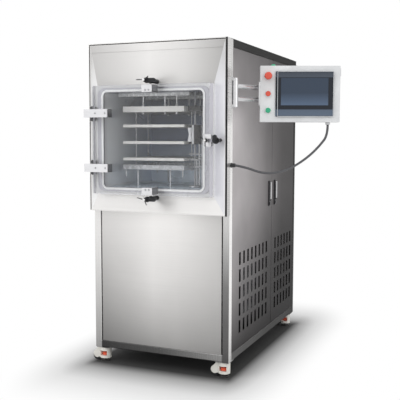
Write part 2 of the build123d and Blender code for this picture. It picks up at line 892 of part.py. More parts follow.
def hinge_brackets():
    """Brackets on the flange plate, each with two ears that hold an upright pin."""
    half = arm_h / 2 + bracket_ear
    x = (hinge_x - hinge_eye / 2, hinge_x + hinge_eye / 2)
    with BuildPart() as brackets:
        for z in hinge_heights:
            span(x, (hinge_y + bracket_clear, flange_face), (z - half, z + half))
            for ear in ((z - half, z - arm_h / 2 - fit), (z + arm_h / 2 + fit, z + half)):
                span(x, (hinge_y, hinge_y + bracket_clear + 1), ear)
                upright(hinge_x, hinge_y, ear, hinge_eye)
            upright(hinge_x, hinge_y, (z - half - pin_head, z + half + pin_head), pin_d)
    finish(brackets.part, "hinge_brackets")


def door_lugs():
    """Clamp blocks on the door: top, bottom, and a forked one at the right edge with a stud."""
    edge = door_edge + side_lug_over
    with BuildPart() as lugs:
        for z in (door_top - lug_in - lug_h / 2, door_bottom + lug_in + lug_h / 2):
            with BuildSketch(facing(door_face)):
                with Locations((door_x + lug_side, z)):
                    RectangleRounded(lug_w, lug_h, lug_round)
            extrude(amount=lug_deep)
        with BuildSketch(facing(door_face)):
            with Locations((edge - side_lug_w / 2, door_mid_z)):
                RectangleRounded(side_lug_w, side_lug_h, side_lug_round)
            with Locations((edge, door_mid_z)):
                Rectangle(2 * side_lug_slot_deep, side_lug_slot, mode=Mode.SUBTRACT)
        extrude(amount=side_lug_deep)
        bar(side_stud_x, door_mid_z, door_face, post_d, side_lug_deep + side_stud_shoulder)
        bar(side_stud_x, door_mid_z, nut_faces[2] + fit, stud_d, nut_len - nut_end)
    finish(lugs.part, "door_lugs")


def clamp_spots():
    """Centres of the clamp posts: top, bottom, right."""
    return (
        (door_x + clamp_side, door_top + post_off),
        (door_x + clamp_side, door_bottom - post_off),
        (door_edge + side_post_off, door_mid_z),
    )


clamp_names = ("top", "bottom", "right")
finger_faces = (
    door_face - lug_deep - 2 * fit,
    door_face - lug_deep - 2 * fit,
    door_face - side_lug_deep - 2 * fit,
)
finger_turns = (0, 0, 90)           # rest direction of each finger, degrees from the right
finger_lens = (finger_len, finger_len, side_finger_len)
finger_eyes = (finger_eye, finger_eye, side_finger_eye)
nut_spots = (clamp_spots()[0], clamp_spots()[1], (side_stud_x, door_mid_z))
nut_faces = (
    finger_faces[0] - finger_t - fit,
    finger_faces[1] - finger_t - fit,
    door_face - side_lug_deep - side_stud_shoulder - fit,
)
rod_turns = ((178, 33), (165, -63), (144, -83))


def clamp_posts():
    """Fixed posts on the flange plate: stepped barrels above and below, a cone beside the door."""
    steps = (
        (post_base_d, post_base_len),
        (clamp_collar_d, clamp_collar_t),
        (clamp_body_d, clamp_body_len),
        (clamp_collar_d, clamp_collar_t),
    )
    with BuildPart() as posts:
        for (x, z), face in zip(clamp_spots()[:2], finger_faces):
            y = flange_face
            for d, length in steps:
                bar(x, z, y, d, length)
                y -= length
            bar(x, z, y, clamp_neck_d, y - face - fit)
            bar(x, z, y, post_d, y - face + finger_t + fit / 2)
            bar(x, z, face - finger_t, stud_d, nut_len - nut_end)
        x, z = clamp_spots()[2]
        face = finger_faces[2]
        wide = flange_face - side_post_len - side_cone_len
        bar(x, z, flange_face, side_post_d, side_post_len)
        with BuildSketch(facing(flange_face - side_post_len)):
            with Locations((x, z)):
                Circle(side_post_d / 2)
        with BuildSketch(facing(wide)):
            with Locations((x, z)):
                Circle(side_cone_d / 2)
        loft()
        bar(x, z, wide, side_cone_d, clamp_collar_t)
        bar(x, z, wide, clamp_neck_d, wide - face - fit)
        bar(x, z, wide, post_d, wide - face + finger_t + fit)
        bar(x, z, face - finger_t - fit, side_cap_d, side_cap_t)
    finish(posts.part, "clamp_posts")


def clamp_finger(index):
    """Flat finger that turns on its post to hold the lug."""
    x, z = clamp_spots()[index]
    reach = finger_lens[index]
    eye = finger_eyes[index]
    angle = math.radians(finger_turns[index])
    middle = (x + reach / 2 * math.cos(angle), z + reach / 2 * math.sin(angle))
    tongue = eye * finger_taper
    with BuildPart() as finger:
        with BuildSketch(facing(finger_faces[index])):
            with Locations((x, z)):
                Circle(eye / 2)
            with Locations(middle):
                SlotOverall(reach + tongue, tongue, rotation=finger_turns[index])
            with Locations((x, z)):
                Circle(post_d / 2 + pin_fit, mode=Mode.SUBTRACT)
        extrude(amount=finger_t)
    finish(finger.part, f"clamp_finger_{clamp_names[index]}")


def clamp_nut(index):
    """Hand nut with a collar and two thin turning rods."""
    x, z = nut_spots[index]
    face = nut_faces[index]
    with BuildPart() as nut:
        bar(x, z, face, nut_d, nut_flange_t)
        bar(x, z, face, nut_body_d, nut_len)
        for turn_deg, length in zip(rod_turns[index], rod_handle_lens):
            angle = math.radians(turn_deg)
            along = Vector(math.cos(angle), -rod_handle_tilt, math.sin(angle)).normalized()
            start = Vector(x, face - nut_len / 2, z) + along * (nut_body_d + stud_d) / 4
            with BuildSketch(Plane(origin=start, z_dir=along)):
                Circle(rod_handle_d / 2)
            extrude(amount=length)
        with BuildSketch(facing(face + 1)):
            with Locations((x, z)):
                Circle(stud_d / 2 + pin_fit)
        extrude(amount=nut_len - nut_end + 1, mode=Mode.SUBTRACT)
    finish(nut.part, f"clamp_nut_{clamp_names[index]}")


# ---------------------------------------------------------------- service doors
side_top = top_rail - seam
side_bottom = rail_top + seam
front_door = (front_y + tube + seam, seam_y - seam / 2)
rear_door = (seam_y + seam / 2, back_y - tube - seam)


def service_door(name, limits, pivot, columns, first):
    """Folded door with a field of vent slots, open at the back, on two pivot pins."""
    with BuildPart() as door:
        span((right_x - side_door_t, right_x), limits, (side_bottom, side_top))
        fillet(door.edges().filter_by(Axis.Z).group_by(Axis.X)[-1], radius=side_door_round)
        span(
            (right_x - side_door_t - 1, right_x - sheet),
            (limits[0] + sheet, limits[1] - sheet),
            (side_bottom + sheet, side_top - sheet),
            Mode.SUBTRACT,
        )
        centre_y = first + (columns - 1) * vent_pitch_y / 2
        centre_z = vent_bottom + vent_h / 2 + (vent_rows - 1) * vent_pitch_z / 2
        with BuildSketch(beside(right_x - 2 * sheet)):
            with Locations((centre_y, centre_z)):
                with GridLocations(vent_pitch_y, vent_pitch_z, columns, vent_rows):
                    RectangleRounded(vent_w, vent_h, vent_round)
        extrude(amount=3 * sheet, mode=Mode.SUBTRACT)
        upright(right_x - pivot_in, pivot, (rail_top - pivot_reach, side_bottom + pivot_root), pivot_d)
        upright(right_x - pivot_in, pivot, (side_top - pivot_root, top_rail + pivot_reach), pivot_d)
    finish(door.part, name)


lock_ys = {"front": seam_y - lock_from_seam, "rear": seam_y + lock_from_seam}


def lock_frame(side):
    """Recessed frame of a swing-handle lock, with the key barrel at its foot."""
    y = lock_ys[side]
    high = lock_z + lock_h / 2 - lock_rim
    with BuildPart() as frame:
        with BuildSketch(beside(right_x)):
            with Locations((y, lock_z)):
                RectangleRounded(lock_w, lock_h, lock_round)
        extrude(amount=lock_t)
        span(
            (right_x + lock_floor, right_x + lock_t + 1),
            (y - lock_w / 2 + lock_rim, y + lock_w / 2 - lock_rim),
            (high - lever_h - 2, high),
            Mode.SUBTRACT,
        )
        with BuildSketch(beside(right_x)):
            with Locations((y, lock_z - lock_h / 2 + lock_key_up)):
                Circle(lock_key_d / 2)
        extrude(amount=lock_t + lock_key_proud)
    finish(frame.part, f"lock_frame_{side}")


lever_pivot_z = lock_z + lock_h / 2 - lock_rim - 0.75 * lever_t
lever_pivot_x = right_x + lock_floor + fit + lever_t / 2


def lock_lever(side):
    """Flat lever that lies in the lock frame and swings out at its lower end."""
    half = lock_w / 2 - lock_rim - 2 * fit
    reach = lever_h - 1.5 * lever_t
    with BuildPart() as lever:
        with BuildSketch(facing(lock_ys[side] - half)):
            with Locations((lever_pivot_x, lever_pivot_z)):
                Circle(lever_t / 2)
            with Locations((lever_pivot_x, lever_pivot_z - reach / 2)):
                Rectangle(lever_t, reach)
        extrude(amount=-2 * half)
        fillet(lever.edges().filter_by(Axis.Y).group_by(Axis.Z)[0], radius=lever_round)
    finish(lever.part, f"lock_lever_{side}")


# ---------------------------------------------------------------- control arm
def arm_bracket():
    """Plate on the side of the hood and front post with two ears and the upright pivot pin."""
    with BuildPart() as bracket:
        span(
            (right_x, right_x + bracket_t),
            (pivot_y - 15, pivot_y + 15),
            (arm_z - arm_bracket_h / 2, arm_z + arm_bracket_h / 2),
        )
        for side in (-1, 1):
            ear = sorted((arm_z + side * (barrel_h / 2 + fit), arm_z + side * (barrel_h / 2 + 12)))
            span((right_x, pivot_x), (pivot_y - 13, pivot_y + 13), ear)
            with BuildSketch(Plane.XY.offset(ear[0])):
                with Locations((pivot_x, pivot_y)):
                    Circle(13)
            extrude(amount=ear[1] - ear[0])
        with Locations((pivot_x, pivot_y, arm_z)):
            Cylinder(pin_d / 2, barrel_h + 30)
    finish(bracket.part, "arm_bracket")


box_corner = Vector(right_x + box_out, front_y + box_back, box_z)
box_face = Plane(origin=box_corner, x_dir=box_along, z_dir=box_normal)
box_side_mid = box_corner - box_normal * (box_d / 2)


def panel_arm():
    """Barrel on the pivot pin, two round tubes and the plate bolted to the side of the control box."""
    plate_face = box_side_mid - box_along * box_plate
    target = Vector(plate_face.X, plate_face.Y, arm_z)
    root = Vector(pivot_x, pivot_y, arm_z)
    run = (target - root).normalized()
    stop = Plane(origin=plate_face, x_dir=box_normal, z_dir=box_along)
    with BuildPart() as arm:
        for dz in (-arm_tube_gap / 2, arm_tube_gap / 2):
            with BuildSketch(Plane(origin=root + Vector(0, 0, dz), z_dir=run)):
                Circle(arm_tube_d / 2)
            extrude(amount=(target - root).length + arm_tube_d)
        split(bisect_by=stop, keep=Keep.BOTTOM)
        with Locations((pivot_x, pivot_y, arm_z)):
            Cylinder(barrel_d / 2 + 2, barrel_h)
            Cylinder(pin_d / 2 + pin_fit, barrel_h + 2, mode=Mode.SUBTRACT)
        with BuildSketch(Plane(origin=target, x_dir=box_normal, z_dir=box_along)):
            RectangleRounded(box_d - 14, arm_tube_gap + 60, 5)
        extrude(amount=box_plate)
    finish(arm.part, "panel_arm")


def panel_box():
    """Sheet steel box with cut-outs for the display and buttons, and the cable entry underneath."""
    with BuildPart() as box:
        with BuildSketch(box_face):
            with Locations((box_w / 2, box_h / 2)):
                RectangleRounded(box_w, box_h, 3)
        extrude(amount=-box_d)
        fillet(box.faces().sort_by(Axis((0, 0, 0), box_normal))[-1].edges(), radius=box_edge)
        with BuildSketch(box_face.offset(-box_wall)):
            with Locations((box_w / 2, box_h / 2)):
                Rectangle(box_w - 2 * box_wall, box_h - 2 * box_wall)
        extrude(amount=-(box_d - 2 * box_wall), mode=Mode.SUBTRACT)
        with BuildSketch(box_face.offset(1)):
            with Locations((hmi_x + hmi_w / 2, hmi_z + hmi_h / 2)):
                Rectangle(hmi_w - 20, hmi_h - 20)
            for z in button_heights:
                with Locations((button_x, z)):
                    Circle(button_d / 2 + pin_fit)
        extrude(amount=-(box_wall + 2), mode=Mode.SUBTRACT)
        # collars of the three buttons
        for z in button_heights:
            with BuildSketch(box_face):
                with Locations((button_x, z)):
                    Circle(collar_d / 2)
                    Circle(button_d / 2 + pin_fit, mode=Mode.SUBTRACT)
            extrude(amount=3)
        # cable entry
        entry = box_corner + box_along * box_gland_x - box_normal * (box_d / 2)
        with BuildSketch(Plane(origin=(entry.X, entry.Y, box_z - box_gland_h), z_dir=(0, 0, 1))):
            Circle(gland_d / 2)
        extrude(amount=box_gland_h + box_wall / 2)
        # service port on the right side
        port = box_corner + box_along * box_w - box_normal * 25 + Vector(0, 0, box_h - 30)
        with BuildSketch(Plane(origin=port, x_dir=box_normal, z_dir=box_along)):
            RectangleRounded(16, port_h, 3)
        extrude(amount=port_t)
    finish(box.part, "panel_box")


def hmi_bezel():
    """Display housing: bezel on the face of the box and the module behind it."""
    with BuildPart() as bezel:
        with BuildSketch(box_face):
            with Locations((hmi_x + hmi_w / 2, hmi_z + hmi_h / 2)):
                RectangleRounded(hmi_w, hmi_h, 5)
        extrude(amount=hmi_t)
        with BuildSketch(box_face.offset(hmi_t)):
            with Locations((hmi_x + hmi_w / 2, hmi_z + screen_z + screen_h / 2)):
                Rectangle(screen_w, screen_h)
        extrude(amount=-2.5, mode=Mode.SUBTRACT)
        with BuildSketch(box_face):
            with Locations((hmi_x + hmi_w / 2, hmi_z + hmi_h / 2)):
                Rectangle(hmi_w - 21, hmi_h - 21)
        extrude(amount=-30)
    finish(bezel.part, "hmi_bezel")


def hmi_screen():
    """Glass of the touch screen."""
    with BuildPart() as glass:
        with BuildSketch(box_face.offset(hmi_t - 2.5)):
            with Locations((hmi_x + hmi_w / 2, hmi_z + screen_z + screen_h / 2)):
                Rectangle(screen_w - 2 * fit, screen_h - 2 * fit)
        extrude(amount=1.5)
    finish(glass.part, "hmi_screen")


def push_button(name, z, head_d, head_h):
    """Button with its stem in the box; a gap of 4 mm under the head is its travel."""
    with BuildPart() as button:
        with BuildSketch(box_face.offset(-14)):
            with Locations((button_x, z)):
                Circle(button_d / 2)
        extrude(amount=14 + 3 + 5)
        with BuildSketch(box_face.offset(8)):
            with Locations((button_x, z)):
                Circle(head_d / 2)
        extrude(amount=head_h)
        fillet(button.faces().sort_by(Axis((0, 0, 0), box_normal))[-1].edges(), radius=head_h * 0.4)
    finish(button.part, name)


def panel_lamp():
    """Small domed lamp on top of the control box."""
    seat = box_corner + box_along * lamp_x - box_normal * lamp_back + Vector(0, 0, box_h)
    with BuildPart() as lamp:
        with BuildSketch(Plane(origin=seat, z_dir=(0, 0, 1))):
            Circle(lamp_d / 2)
        extrude(amount=10)
        fillet(lamp.faces().sort_by(Axis.Z)[-1].edges(), radius=8)
    finish(lamp.part, "panel_lamp")


def cable_gland():
    """Ribbed gland on the side of the cabinet, in line under the arm's pivot."""
    with BuildPart() as gland:
        with BuildSketch(Plane(origin=(right_x, pivot_y, gland_z), z_dir=(1, 0, 0))):
            RegularPolygon(gland_d / 2, 6)
        extrude(amount=7)
        with BuildSketch(Plane(origin=(right_x + 7, pivot_y, gland_z), z_dir=(1, 0, 0))):
            Circle(gland_d / 2 - 2)
        extrude(amount=arm_pivot_out - 7)
    finish(gland.part, "cable_gland")


def panel_cable():
    """Conduit from the gland, hanging in a slack curve, up to the underside of the control box."""
    route = [
        (23, 12, 1089), (80, 14, 1080), (135, 78, 1051), (193, 137, 1048), (253, 181, 1070),
        (303, 217, 1104), (348, 250, 1145), (385, 277, 1190),
    ]
    entry = box_corner + box_along * box_gland_x - box_normal * (box_d / 2)
    points = [Vector(right_x + x, front_y + y, z) for x, y, z in route]
    points += [Vector(entry.X, entry.Y, box_z - box_gland_h - 55), Vector(entry.X, entry.Y, box_z - box_gland_h)]
    runs = [b - a for a, b in zip(points, points[1:])]
    radii = []
    for before, after in zip(runs, runs[1:]):
        half_turn = math.radians(before.get_angle(after) / 2)
        radii.append(0.45 * min(before.length, after.length) / math.tan(half_turn))
    print("cable radii", [round(r) for r in radii])
    print("cable runs", [round(r.length) for r in runs])
    with BuildPart() as cable:
        with BuildLine() as path:
            FilletPolyline(*points, radius=radii)
        with BuildSketch(Plane(origin=path.line @ 0, z_dir=path.line % 0)):
            Circle(cable_d / 2)
        sweep(path=path.line)
    length = sum(edge.length for edge in path.edges())
    print("cable length", round(length, 1), "volume", round(cable.part.volume), "expected",
          round(length * math.pi * cable_d**2 / 4))
    finish(cable.part, "panel_cable")


# ---------------------------------------------------------------- castors
body_low = pad_t + foot_travel + 2.0
body_high = floor_gap - castor_plate_t - fit
axle_z = wheel_d / 2 + wheel_lift


def castor_body(spot):
    """Ivory castor housing: round cup over the foot, window for the thumbwheel, and the wheel fork."""
    x, y = castor_spots[spot]
    fork_w = wheel_w + 2 * castor_wall + 2
    with BuildPart() as body:
        with BuildSketch(Plane.XY.offset(body_low)):
            with Locations((x, y)):
                Circle(cup_d / 2)
        extrude(amount=body_high - body_low)
        with BuildSketch(facing(y + fork_w / 2)):
            with Locations((x - wheel_off, axle_z + 10)):
                Circle(wheel_d / 2 - 4)
            with BuildLine():
                Polyline(
                    (x, body_low + 4), (x - wheel_off, axle_z - 8), (x - wheel_off - 20, axle_z + 14),
                    (x - wheel_off + 6, body_high - 8), (x - 6, body_high), (x, body_high), close=True,
                )
            make_face()
        extrude(amount=fork_w)
        # wheel well
        with BuildSketch(facing(y + wheel_w / 2 + 1)):
            with Locations((x - wheel_off, axle_z)):
                Circle(wheel_d / 2 + 2)
        extrude(amount=wheel_w + 2, mode=Mode.SUBTRACT)
        # bore for the stem, cup for the foot and window for the thumbwheel
        with Locations((x, y, (body_low + body_high) / 2)):
            Cylinder(stem_d / 2 + 0.5, body_high - body_low + 2, mode=Mode.SUBTRACT)
        window = (thumb_z - thumb_t / 2 - 3, thumb_z + thumb_t / 2 + foot_travel + 3)
        with Locations((x, y, (window[0] + window[1]) / 2)):
            Box(thumb_d + 4, cup_d + 2, window[1] - window[0], mode=Mode.SUBTRACT)
        # axle across the fork
        with BuildSketch(facing(y + fork_w / 2)):
            with Locations((x - wheel_off, axle_z)):
                Circle(3)
        extrude(amount=fork_w)
    finish(body.part, f"castor_body_{spot}")


def castor_wheel(spot):
    """Black wheel with a crowned tread, running on the axle."""
    x, y = castor_spots[spot]
    with BuildPart() as wheel:
        with BuildSketch(facing(y + wheel_w / 2)):
            with Locations((x - wheel_off, axle_z)):
                Circle(wheel_d / 2)
                Circle(3 + pin_fit, mode=Mode.SUBTRACT)
        extrude(amount=wheel_w)
        rim = wheel.edges().filter_by(GeomType.CIRCLE).sort_by(SortBy.RADIUS)[-2:]
        fillet(rim, radius=3)
    finish(wheel.part, f"castor_wheel_{spot}")


def castor_foot(spot):
    """Levelling foot: rubber pad, threaded stem and the thumbwheel on it."""
    x, y = castor_spots[spot]
    with BuildPart() as foot:
        with BuildSketch(Plane.XY):
            with Locations((x, y)):
                Circle(pad_d / 2)
        extrude(amount=pad_t)
        chamfer(foot.faces().sort_by(Axis.Z)[-1].edges(), length=3)
        with BuildSketch(Plane.XY.offset(pad_t)):
            with Locations((x, y)):
                Circle(stem_d / 2)
        extrude(amount=body_high - foot_travel - 2 - pad_t)
        with Locations((x, y, thumb_z)):
            Cylinder(thumb_d / 2, thumb_t)
    finish(foot.part, f"castor_foot_{spot}")


# ---------------------------------------------------------------- machinery
fan_x = right_x - side_door_t - fan_gap - fin_deep
machine_floor = rail_top + sheet
pump_x = trap_x
pump_y = back_y - pump_back
pump_top = machine_floor + pump_h
pump_port_y = pump_y - pump_port_off


def condenser():
    """Finned block on the base pan behind the vents, with its fan shroud and motor stand."""
    face = (fan_x, fan_x + fin_deep)
    middle = (front_y + fan_y, fan_z)
    height = 2 * (fan_z - machine_floor)
    with BuildPart() as block:
        wide = (middle[0] - fin_block / 2, middle[0] + fin_block / 2)
        span(face, wide, (machine_floor, machine_floor + height))
        # grooves between the fin packs
        with BuildSketch(beside(face[1] + 1)):
            with Locations(middle):
                with GridLocations(fin_pitch, 1, 22, 1):
                    Rectangle(fin_gap, height - 2 * fin_rim)
        extrude(amount=fin_rim - fin_deep, mode=Mode.SUBTRACT)
        # shroud ring and motor post
        with BuildSketch(beside(face[0] - shroud_deep)):
            with Locations(middle):
                Rectangle(fin_block, height)
                Circle(fan_d / 2 + 6, mode=Mode.SUBTRACT)
        extrude(amount=shroud_deep)
        with BuildSketch(beside(face[0] - motor_t)):
            with Locations(middle):
                Circle(motor_d / 2)
        extrude(amount=motor_t)
        with BuildSketch(beside(face[0] - shroud_deep)):
            with Locations(middle):
                Circle(fan_shaft_d / 2)
        extrude(amount=shroud_deep)
    finish(block.part, "condenser")


def fan_rotor():
    """Seven-bladed fan on the motor shaft."""
    hub_face = fan_x - shroud_deep + 4
    middle = (front_y + fan_y, fan_z)
    pitch_turn = math.radians(blade_turn)
    with BuildPart() as rotor:
        with BuildSketch(beside(hub_face)):
            with Locations(middle):
                Circle(fan_hub_d / 2)
        extrude(amount=fan_hub_t)
        for i in range(7):
            angle = 2 * math.pi / 7 * i
            radial = Vector(0, math.cos(angle), math.sin(angle))
            across = Vector(0, -radial.Z, radial.Y)
            pitch = across * math.cos(pitch_turn) + Vector(1, 0, 0) * math.sin(pitch_turn)
            start = Vector(hub_face + fan_hub_t / 2, *middle) + radial * (fan_hub_d / 2 - 6)
            with BuildSketch(Plane(origin=start, x_dir=pitch, z_dir=radial)):
                Rectangle(blade_w, blade_t)
            extrude(amount=(fan_d - fan_hub_d) / 2 + 2)
        with BuildSketch(beside(hub_face - 1)):
            with Locations(middle):
                Circle(fan_shaft_d / 2 + pin_fit)
        extrude(amount=fan_hub_t + 2, mode=Mode.SUBTRACT)
    finish(rotor.part, "fan_rotor")


def cold_trap():
    """Steel vapour trap behind the chamber, its neck, saddle and the vacuum line down to the pump."""
    neck = front_y + chamber_deep + chamber_wall
    front = neck + trap_neck
    back = front + trap_len
    lap = 2 * trap_wall
    with BuildPart() as trap:
        bar(trap_x, trap_z, back, trap_d, trap_len)
        fillet(trap.edges().filter_by(GeomType.CIRCLE), radius=trap_round)
        bar(trap_x, trap_z, front + lap, trap_neck_d, trap_neck + lap)
        # saddle on the bearer
        saddle = (front_y + trap_rail_y, front_y + trap_rail_y + tube)
        span((trap_x - saddle_w / 2, trap_x + saddle_w / 2), saddle, (mid_rail_z + tube, trap_z - saddle_drop))
        upright(trap_x, pump_port_y, (pump_top, trap_z), vacuum_line_d)
        # hollow inside the vessel, open to the chamber
        with BuildSketch(facing(back - trap_wall)):
            with Locations((trap_x, trap_z)):
                Circle(trap_d / 2 - trap_wall)
        extrude(amount=trap_len - 2 * trap_wall, mode=Mode.SUBTRACT)
        with BuildSketch(facing(front + 2 * lap)):
            with Locations((trap_x, trap_z)):
                Circle(trap_neck_d / 2 - trap_wall)
        extrude(amount=trap_neck + 3 * lap, mode=Mode.SUBTRACT)
    finish(trap.part, "cold_trap")


def vacuum_pump():
    """Rotary vane pump: oil case, flanged motor and feet on the base pan."""
    case = (machine_floor + pump_stand, machine_floor + pump_stand + pump_case_h)
    front = pump_y - 0.75 * pump_case_len
    back = front + pump_case_len
    middle = (pump_y + pump_motor_len - pump_case_len / 2) / 2 + front / 2
    with BuildPart() as pump:
        span((pump_x - pump_w / 2, pump_x + pump_w / 2), (front, back), case)
        fillet(pump.edges().filter_by(Axis.Y), radius=pump_round)
        bar(pump_x, (case[0] + case[1]) / 2, back + pump_motor_len, pump_w, pump_motor_len)
        for y in (middle - pump_foot_gap / 2, middle + pump_foot_gap / 2):
            span(
                (pump_x - pump_foot_w / 2, pump_x + pump_foot_w / 2),
                (y - pump_foot_d / 2, y + pump_foot_d / 2),
                (machine_floor, machine_floor + pump_foot_h),
            )
        upright(pump_x, pump_port_y, (case[1] - pump_round, pump_top), vacuum_line_d + 8)
    finish(pump.part, "vacuum_pump")


def compressor():
    """Hermetic compressor pot on a foot plate."""
    x = mid_x - compressor_side
    y = front_y + fan_y
    seat = machine_floor + compressor_plate_t
    band = machine_floor + compressor_band_z
    with BuildPart() as pot:
        span(
            (x - compressor_plate_w / 2, x + compressor_plate_w / 2),
            (y - compressor_plate_d / 2, y + compressor_plate_d / 2),
            (machine_floor, seat),
        )
        upright(x, y, (seat, seat + compressor_h), compressor_d)
        fillet(pot.faces().sort_by(Axis.Z)[-1].edges(), radius=compressor_round)
        upright(x, y, (band, band + compressor_band), compressor_d + 10)
    finish(pot.part, "compressor")


# ---------------------------------------------------------------- build everything
end_frame(front_y, (frame_z, mid_rail_z, top_rail), "front_frame")
end_frame(back_y - tube, (frame_z, top_rail), "rear_frame")
frame_rails()
base_pan()
front_panel()
hood()
fascia()
left_panel()
rear_panel()
roof_panel()
chamber()
door_gasket()
shelf_plates()
shelf_rack()
fluid_manifold()
chamber_door()
door_hinge_arms()
hinge_brackets()
door_lugs()
clamp_posts()
for clamp in range(3):
    clamp_finger(clamp)
    clamp_nut(clamp)
front_vent = front_door[0] + vent_edge + vent_w / 2
rear_vent = rear_door[0] + rear_vent_edge + vent_w / 2
service_door("service_door_front", front_door, door_pivots[0], vent_cols, front_vent)
service_door("service_door_rear", rear_door, door_pivots[1], rear_vent_cols, rear_vent)
for side in lock_ys:
    lock_frame(side)
    lock_lever(side)
arm_bracket()
panel_arm()
panel_box()
hmi_bezel()
hmi_screen()
push_button("button_start", button_heights[0], button_head_d, button_head_t)
push_button("button_stop", button_heights[1], button_head_d, button_head_t)
push_button("button_emergency", button_heights[2], estop_d, estop_t)
panel_lamp()
cable_gland()
panel_cable()
for corner in castor_spots:
    castor_body(corner)
    castor_wheel(corner)
    castor_foot(corner)
condenser()
fan_rotor()
cold_trap()
vacuum_pump()
compressor()
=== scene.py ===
"""Pilot freeze dryer: finishes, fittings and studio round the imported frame."""

import math

import bmesh
import bpy
from bpy.props import FloatProperty, FloatVectorProperty, IntProperty, PointerProperty
from bpy.types import Operator, Panel, PropertyGroup
from mathutils import Matrix, Vector


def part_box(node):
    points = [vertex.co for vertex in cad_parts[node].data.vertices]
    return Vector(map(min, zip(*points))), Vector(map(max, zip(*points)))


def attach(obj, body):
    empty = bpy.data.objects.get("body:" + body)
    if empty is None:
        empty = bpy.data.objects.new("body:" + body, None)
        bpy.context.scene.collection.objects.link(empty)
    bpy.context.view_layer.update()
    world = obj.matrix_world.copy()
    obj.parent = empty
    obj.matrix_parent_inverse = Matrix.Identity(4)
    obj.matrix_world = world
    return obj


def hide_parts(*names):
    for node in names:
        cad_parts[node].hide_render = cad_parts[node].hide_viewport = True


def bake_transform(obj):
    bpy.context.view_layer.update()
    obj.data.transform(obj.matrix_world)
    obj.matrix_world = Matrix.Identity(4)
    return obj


bl_info = {
    "name": "Freeze Dryer",
    "version": (1, 0, 0),
    "blender": (4, 5, 0),
    "location": "View3D > Sidebar > Freeze Dryer",
    "description": "Dresses a pilot freeze dryer with its finishes and small fittings",
    "category": "Object",
}

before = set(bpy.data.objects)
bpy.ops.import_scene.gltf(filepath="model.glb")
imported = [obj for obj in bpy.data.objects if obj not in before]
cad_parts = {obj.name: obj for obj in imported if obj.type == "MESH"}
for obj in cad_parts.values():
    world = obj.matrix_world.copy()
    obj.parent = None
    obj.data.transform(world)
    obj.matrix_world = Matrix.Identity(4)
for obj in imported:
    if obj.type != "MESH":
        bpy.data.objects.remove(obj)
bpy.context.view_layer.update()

hood_low, hood_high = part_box("hood")
door_low, door_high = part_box("chamber_door")
LEFT, RIGHT = hood_low.x, hood_high.x
MIDDLE = (LEFT + RIGHT) / 2
DOOR_X = (door_low.x + door_high.x) / 2
DOOR_Z = (door_low.z + door_high.z) / 2
FRONT = hood_high.y
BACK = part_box("rear_frame")[1].y
TOP = hood_high.z
FACING_OUT = Vector((0, -1, 0))
# near black painted as the shadow in the gaps beside the fascia and along the hood's side
PAINTED_SHADOW_BLACK = (0.015, 0.015, 0.017)
WHITE = (1.0, 1.0, 1.0)
BLACK = (0.0, 0.0, 0.0)
SMOOTH_ANGLE = math.radians(40)


# ------------------------------------------------------------------ settings
class CabinetLook(PropertyGroup):
    """Colours and roughness of the outer sheet metal."""

    sheet: FloatVectorProperty(
        name="Sheet", description="Brushed stainless front sheet", subtype="COLOR",
        default=(0.90, 0.885, 0.87), min=0, max=1,
    )
    side: FloatVectorProperty(
        name="Side", description="Brushed side sheets and doors", subtype="COLOR",
        default=(0.48, 0.455, 0.46), min=0, max=1,
    )
    tube: FloatVectorProperty(
        name="Tube", description="Square frame tube", subtype="COLOR",
        default=(0.91, 0.90, 0.89), min=0, max=1,
    )
    roughness: FloatProperty(
        name="Roughness", description="Roughness of the brushed sheet", subtype="FACTOR",
        default=0.34, min=0, max=1,
    )
    grain: FloatProperty(
        name="Grain", description="Brush lines per metre",
        default=900.0, min=10.0, max=5000.0,
    )


class ChamberLook(PropertyGroup):
    """Finishes of the vacuum chamber and its door."""

    rim: FloatVectorProperty(
        name="Sealing rim", description="Ground rim round the chamber mouth", subtype="COLOR",
        default=(0.56, 0.555, 0.60), min=0, max=1,
    )
    acrylic: FloatVectorProperty(
        name="Door", description="Clear door plate", subtype="COLOR",
        default=(0.985, 0.99, 0.995), min=0, max=1,
    )
    edge: FloatVectorProperty(
        name="Door edge", description="Ground edge of the door plate", subtype="COLOR",
        default=(0.80, 0.79, 0.84), min=0, max=1,
    )
    seal: FloatVectorProperty(
        name="Seal", description="White silicone seal", subtype="COLOR",
        default=(0.93, 0.93, 0.93), min=0, max=1,
    )
    shelf: FloatVectorProperty(
        name="Shelf", description="Shelf plates", subtype="COLOR",
        default=(0.90, 0.89, 0.86), min=0, max=1,
    )


class ControlLook(PropertyGroup):
    """Finishes and sizes of the control box, its buttons and the conduit."""

    box: FloatVectorProperty(
        name="Box", description="Powder coat of the control box", subtype="COLOR",
        default=(0.80, 0.81, 0.82), min=0, max=1,
    )
    glass: FloatVectorProperty(
        name="Display", description="Display glass", subtype="COLOR",
        default=(0.04, 0.058, 0.09), min=0, max=1,
    )
    stop: FloatVectorProperty(
        name="Stop", description="Red push buttons", subtype="COLOR",
        default=(0.78, 0.10, 0.06), min=0, max=1,
    )
    start: FloatVectorProperty(
        name="Start", description="Green push button and lamp", subtype="COLOR",
        default=(0.03, 0.42, 0.22), min=0, max=1,
    )
    conduit: FloatProperty(
        name="Conduit", description="Diameter of the grey conduit", unit="LENGTH",
        default=0.012, min=0.004, max=0.03,
    )


class FittingLook(PropertyGroup):
    """Sizes of the small fittings."""

    screw: FloatProperty(
        name="Screw head", description="Diameter of the cap screws", unit="LENGTH",
        default=0.009, min=0.004, max=0.03,
    )
    knurls: IntProperty(
        name="Knurls", description="Grooves round each hand nut",
        default=20, min=8, max=60,
    )
    nut_rod: FloatProperty(
        name="Nut rod", description="Diameter of the turning rods", unit="LENGTH",
        default=0.005, min=0.002, max=0.02,
    )


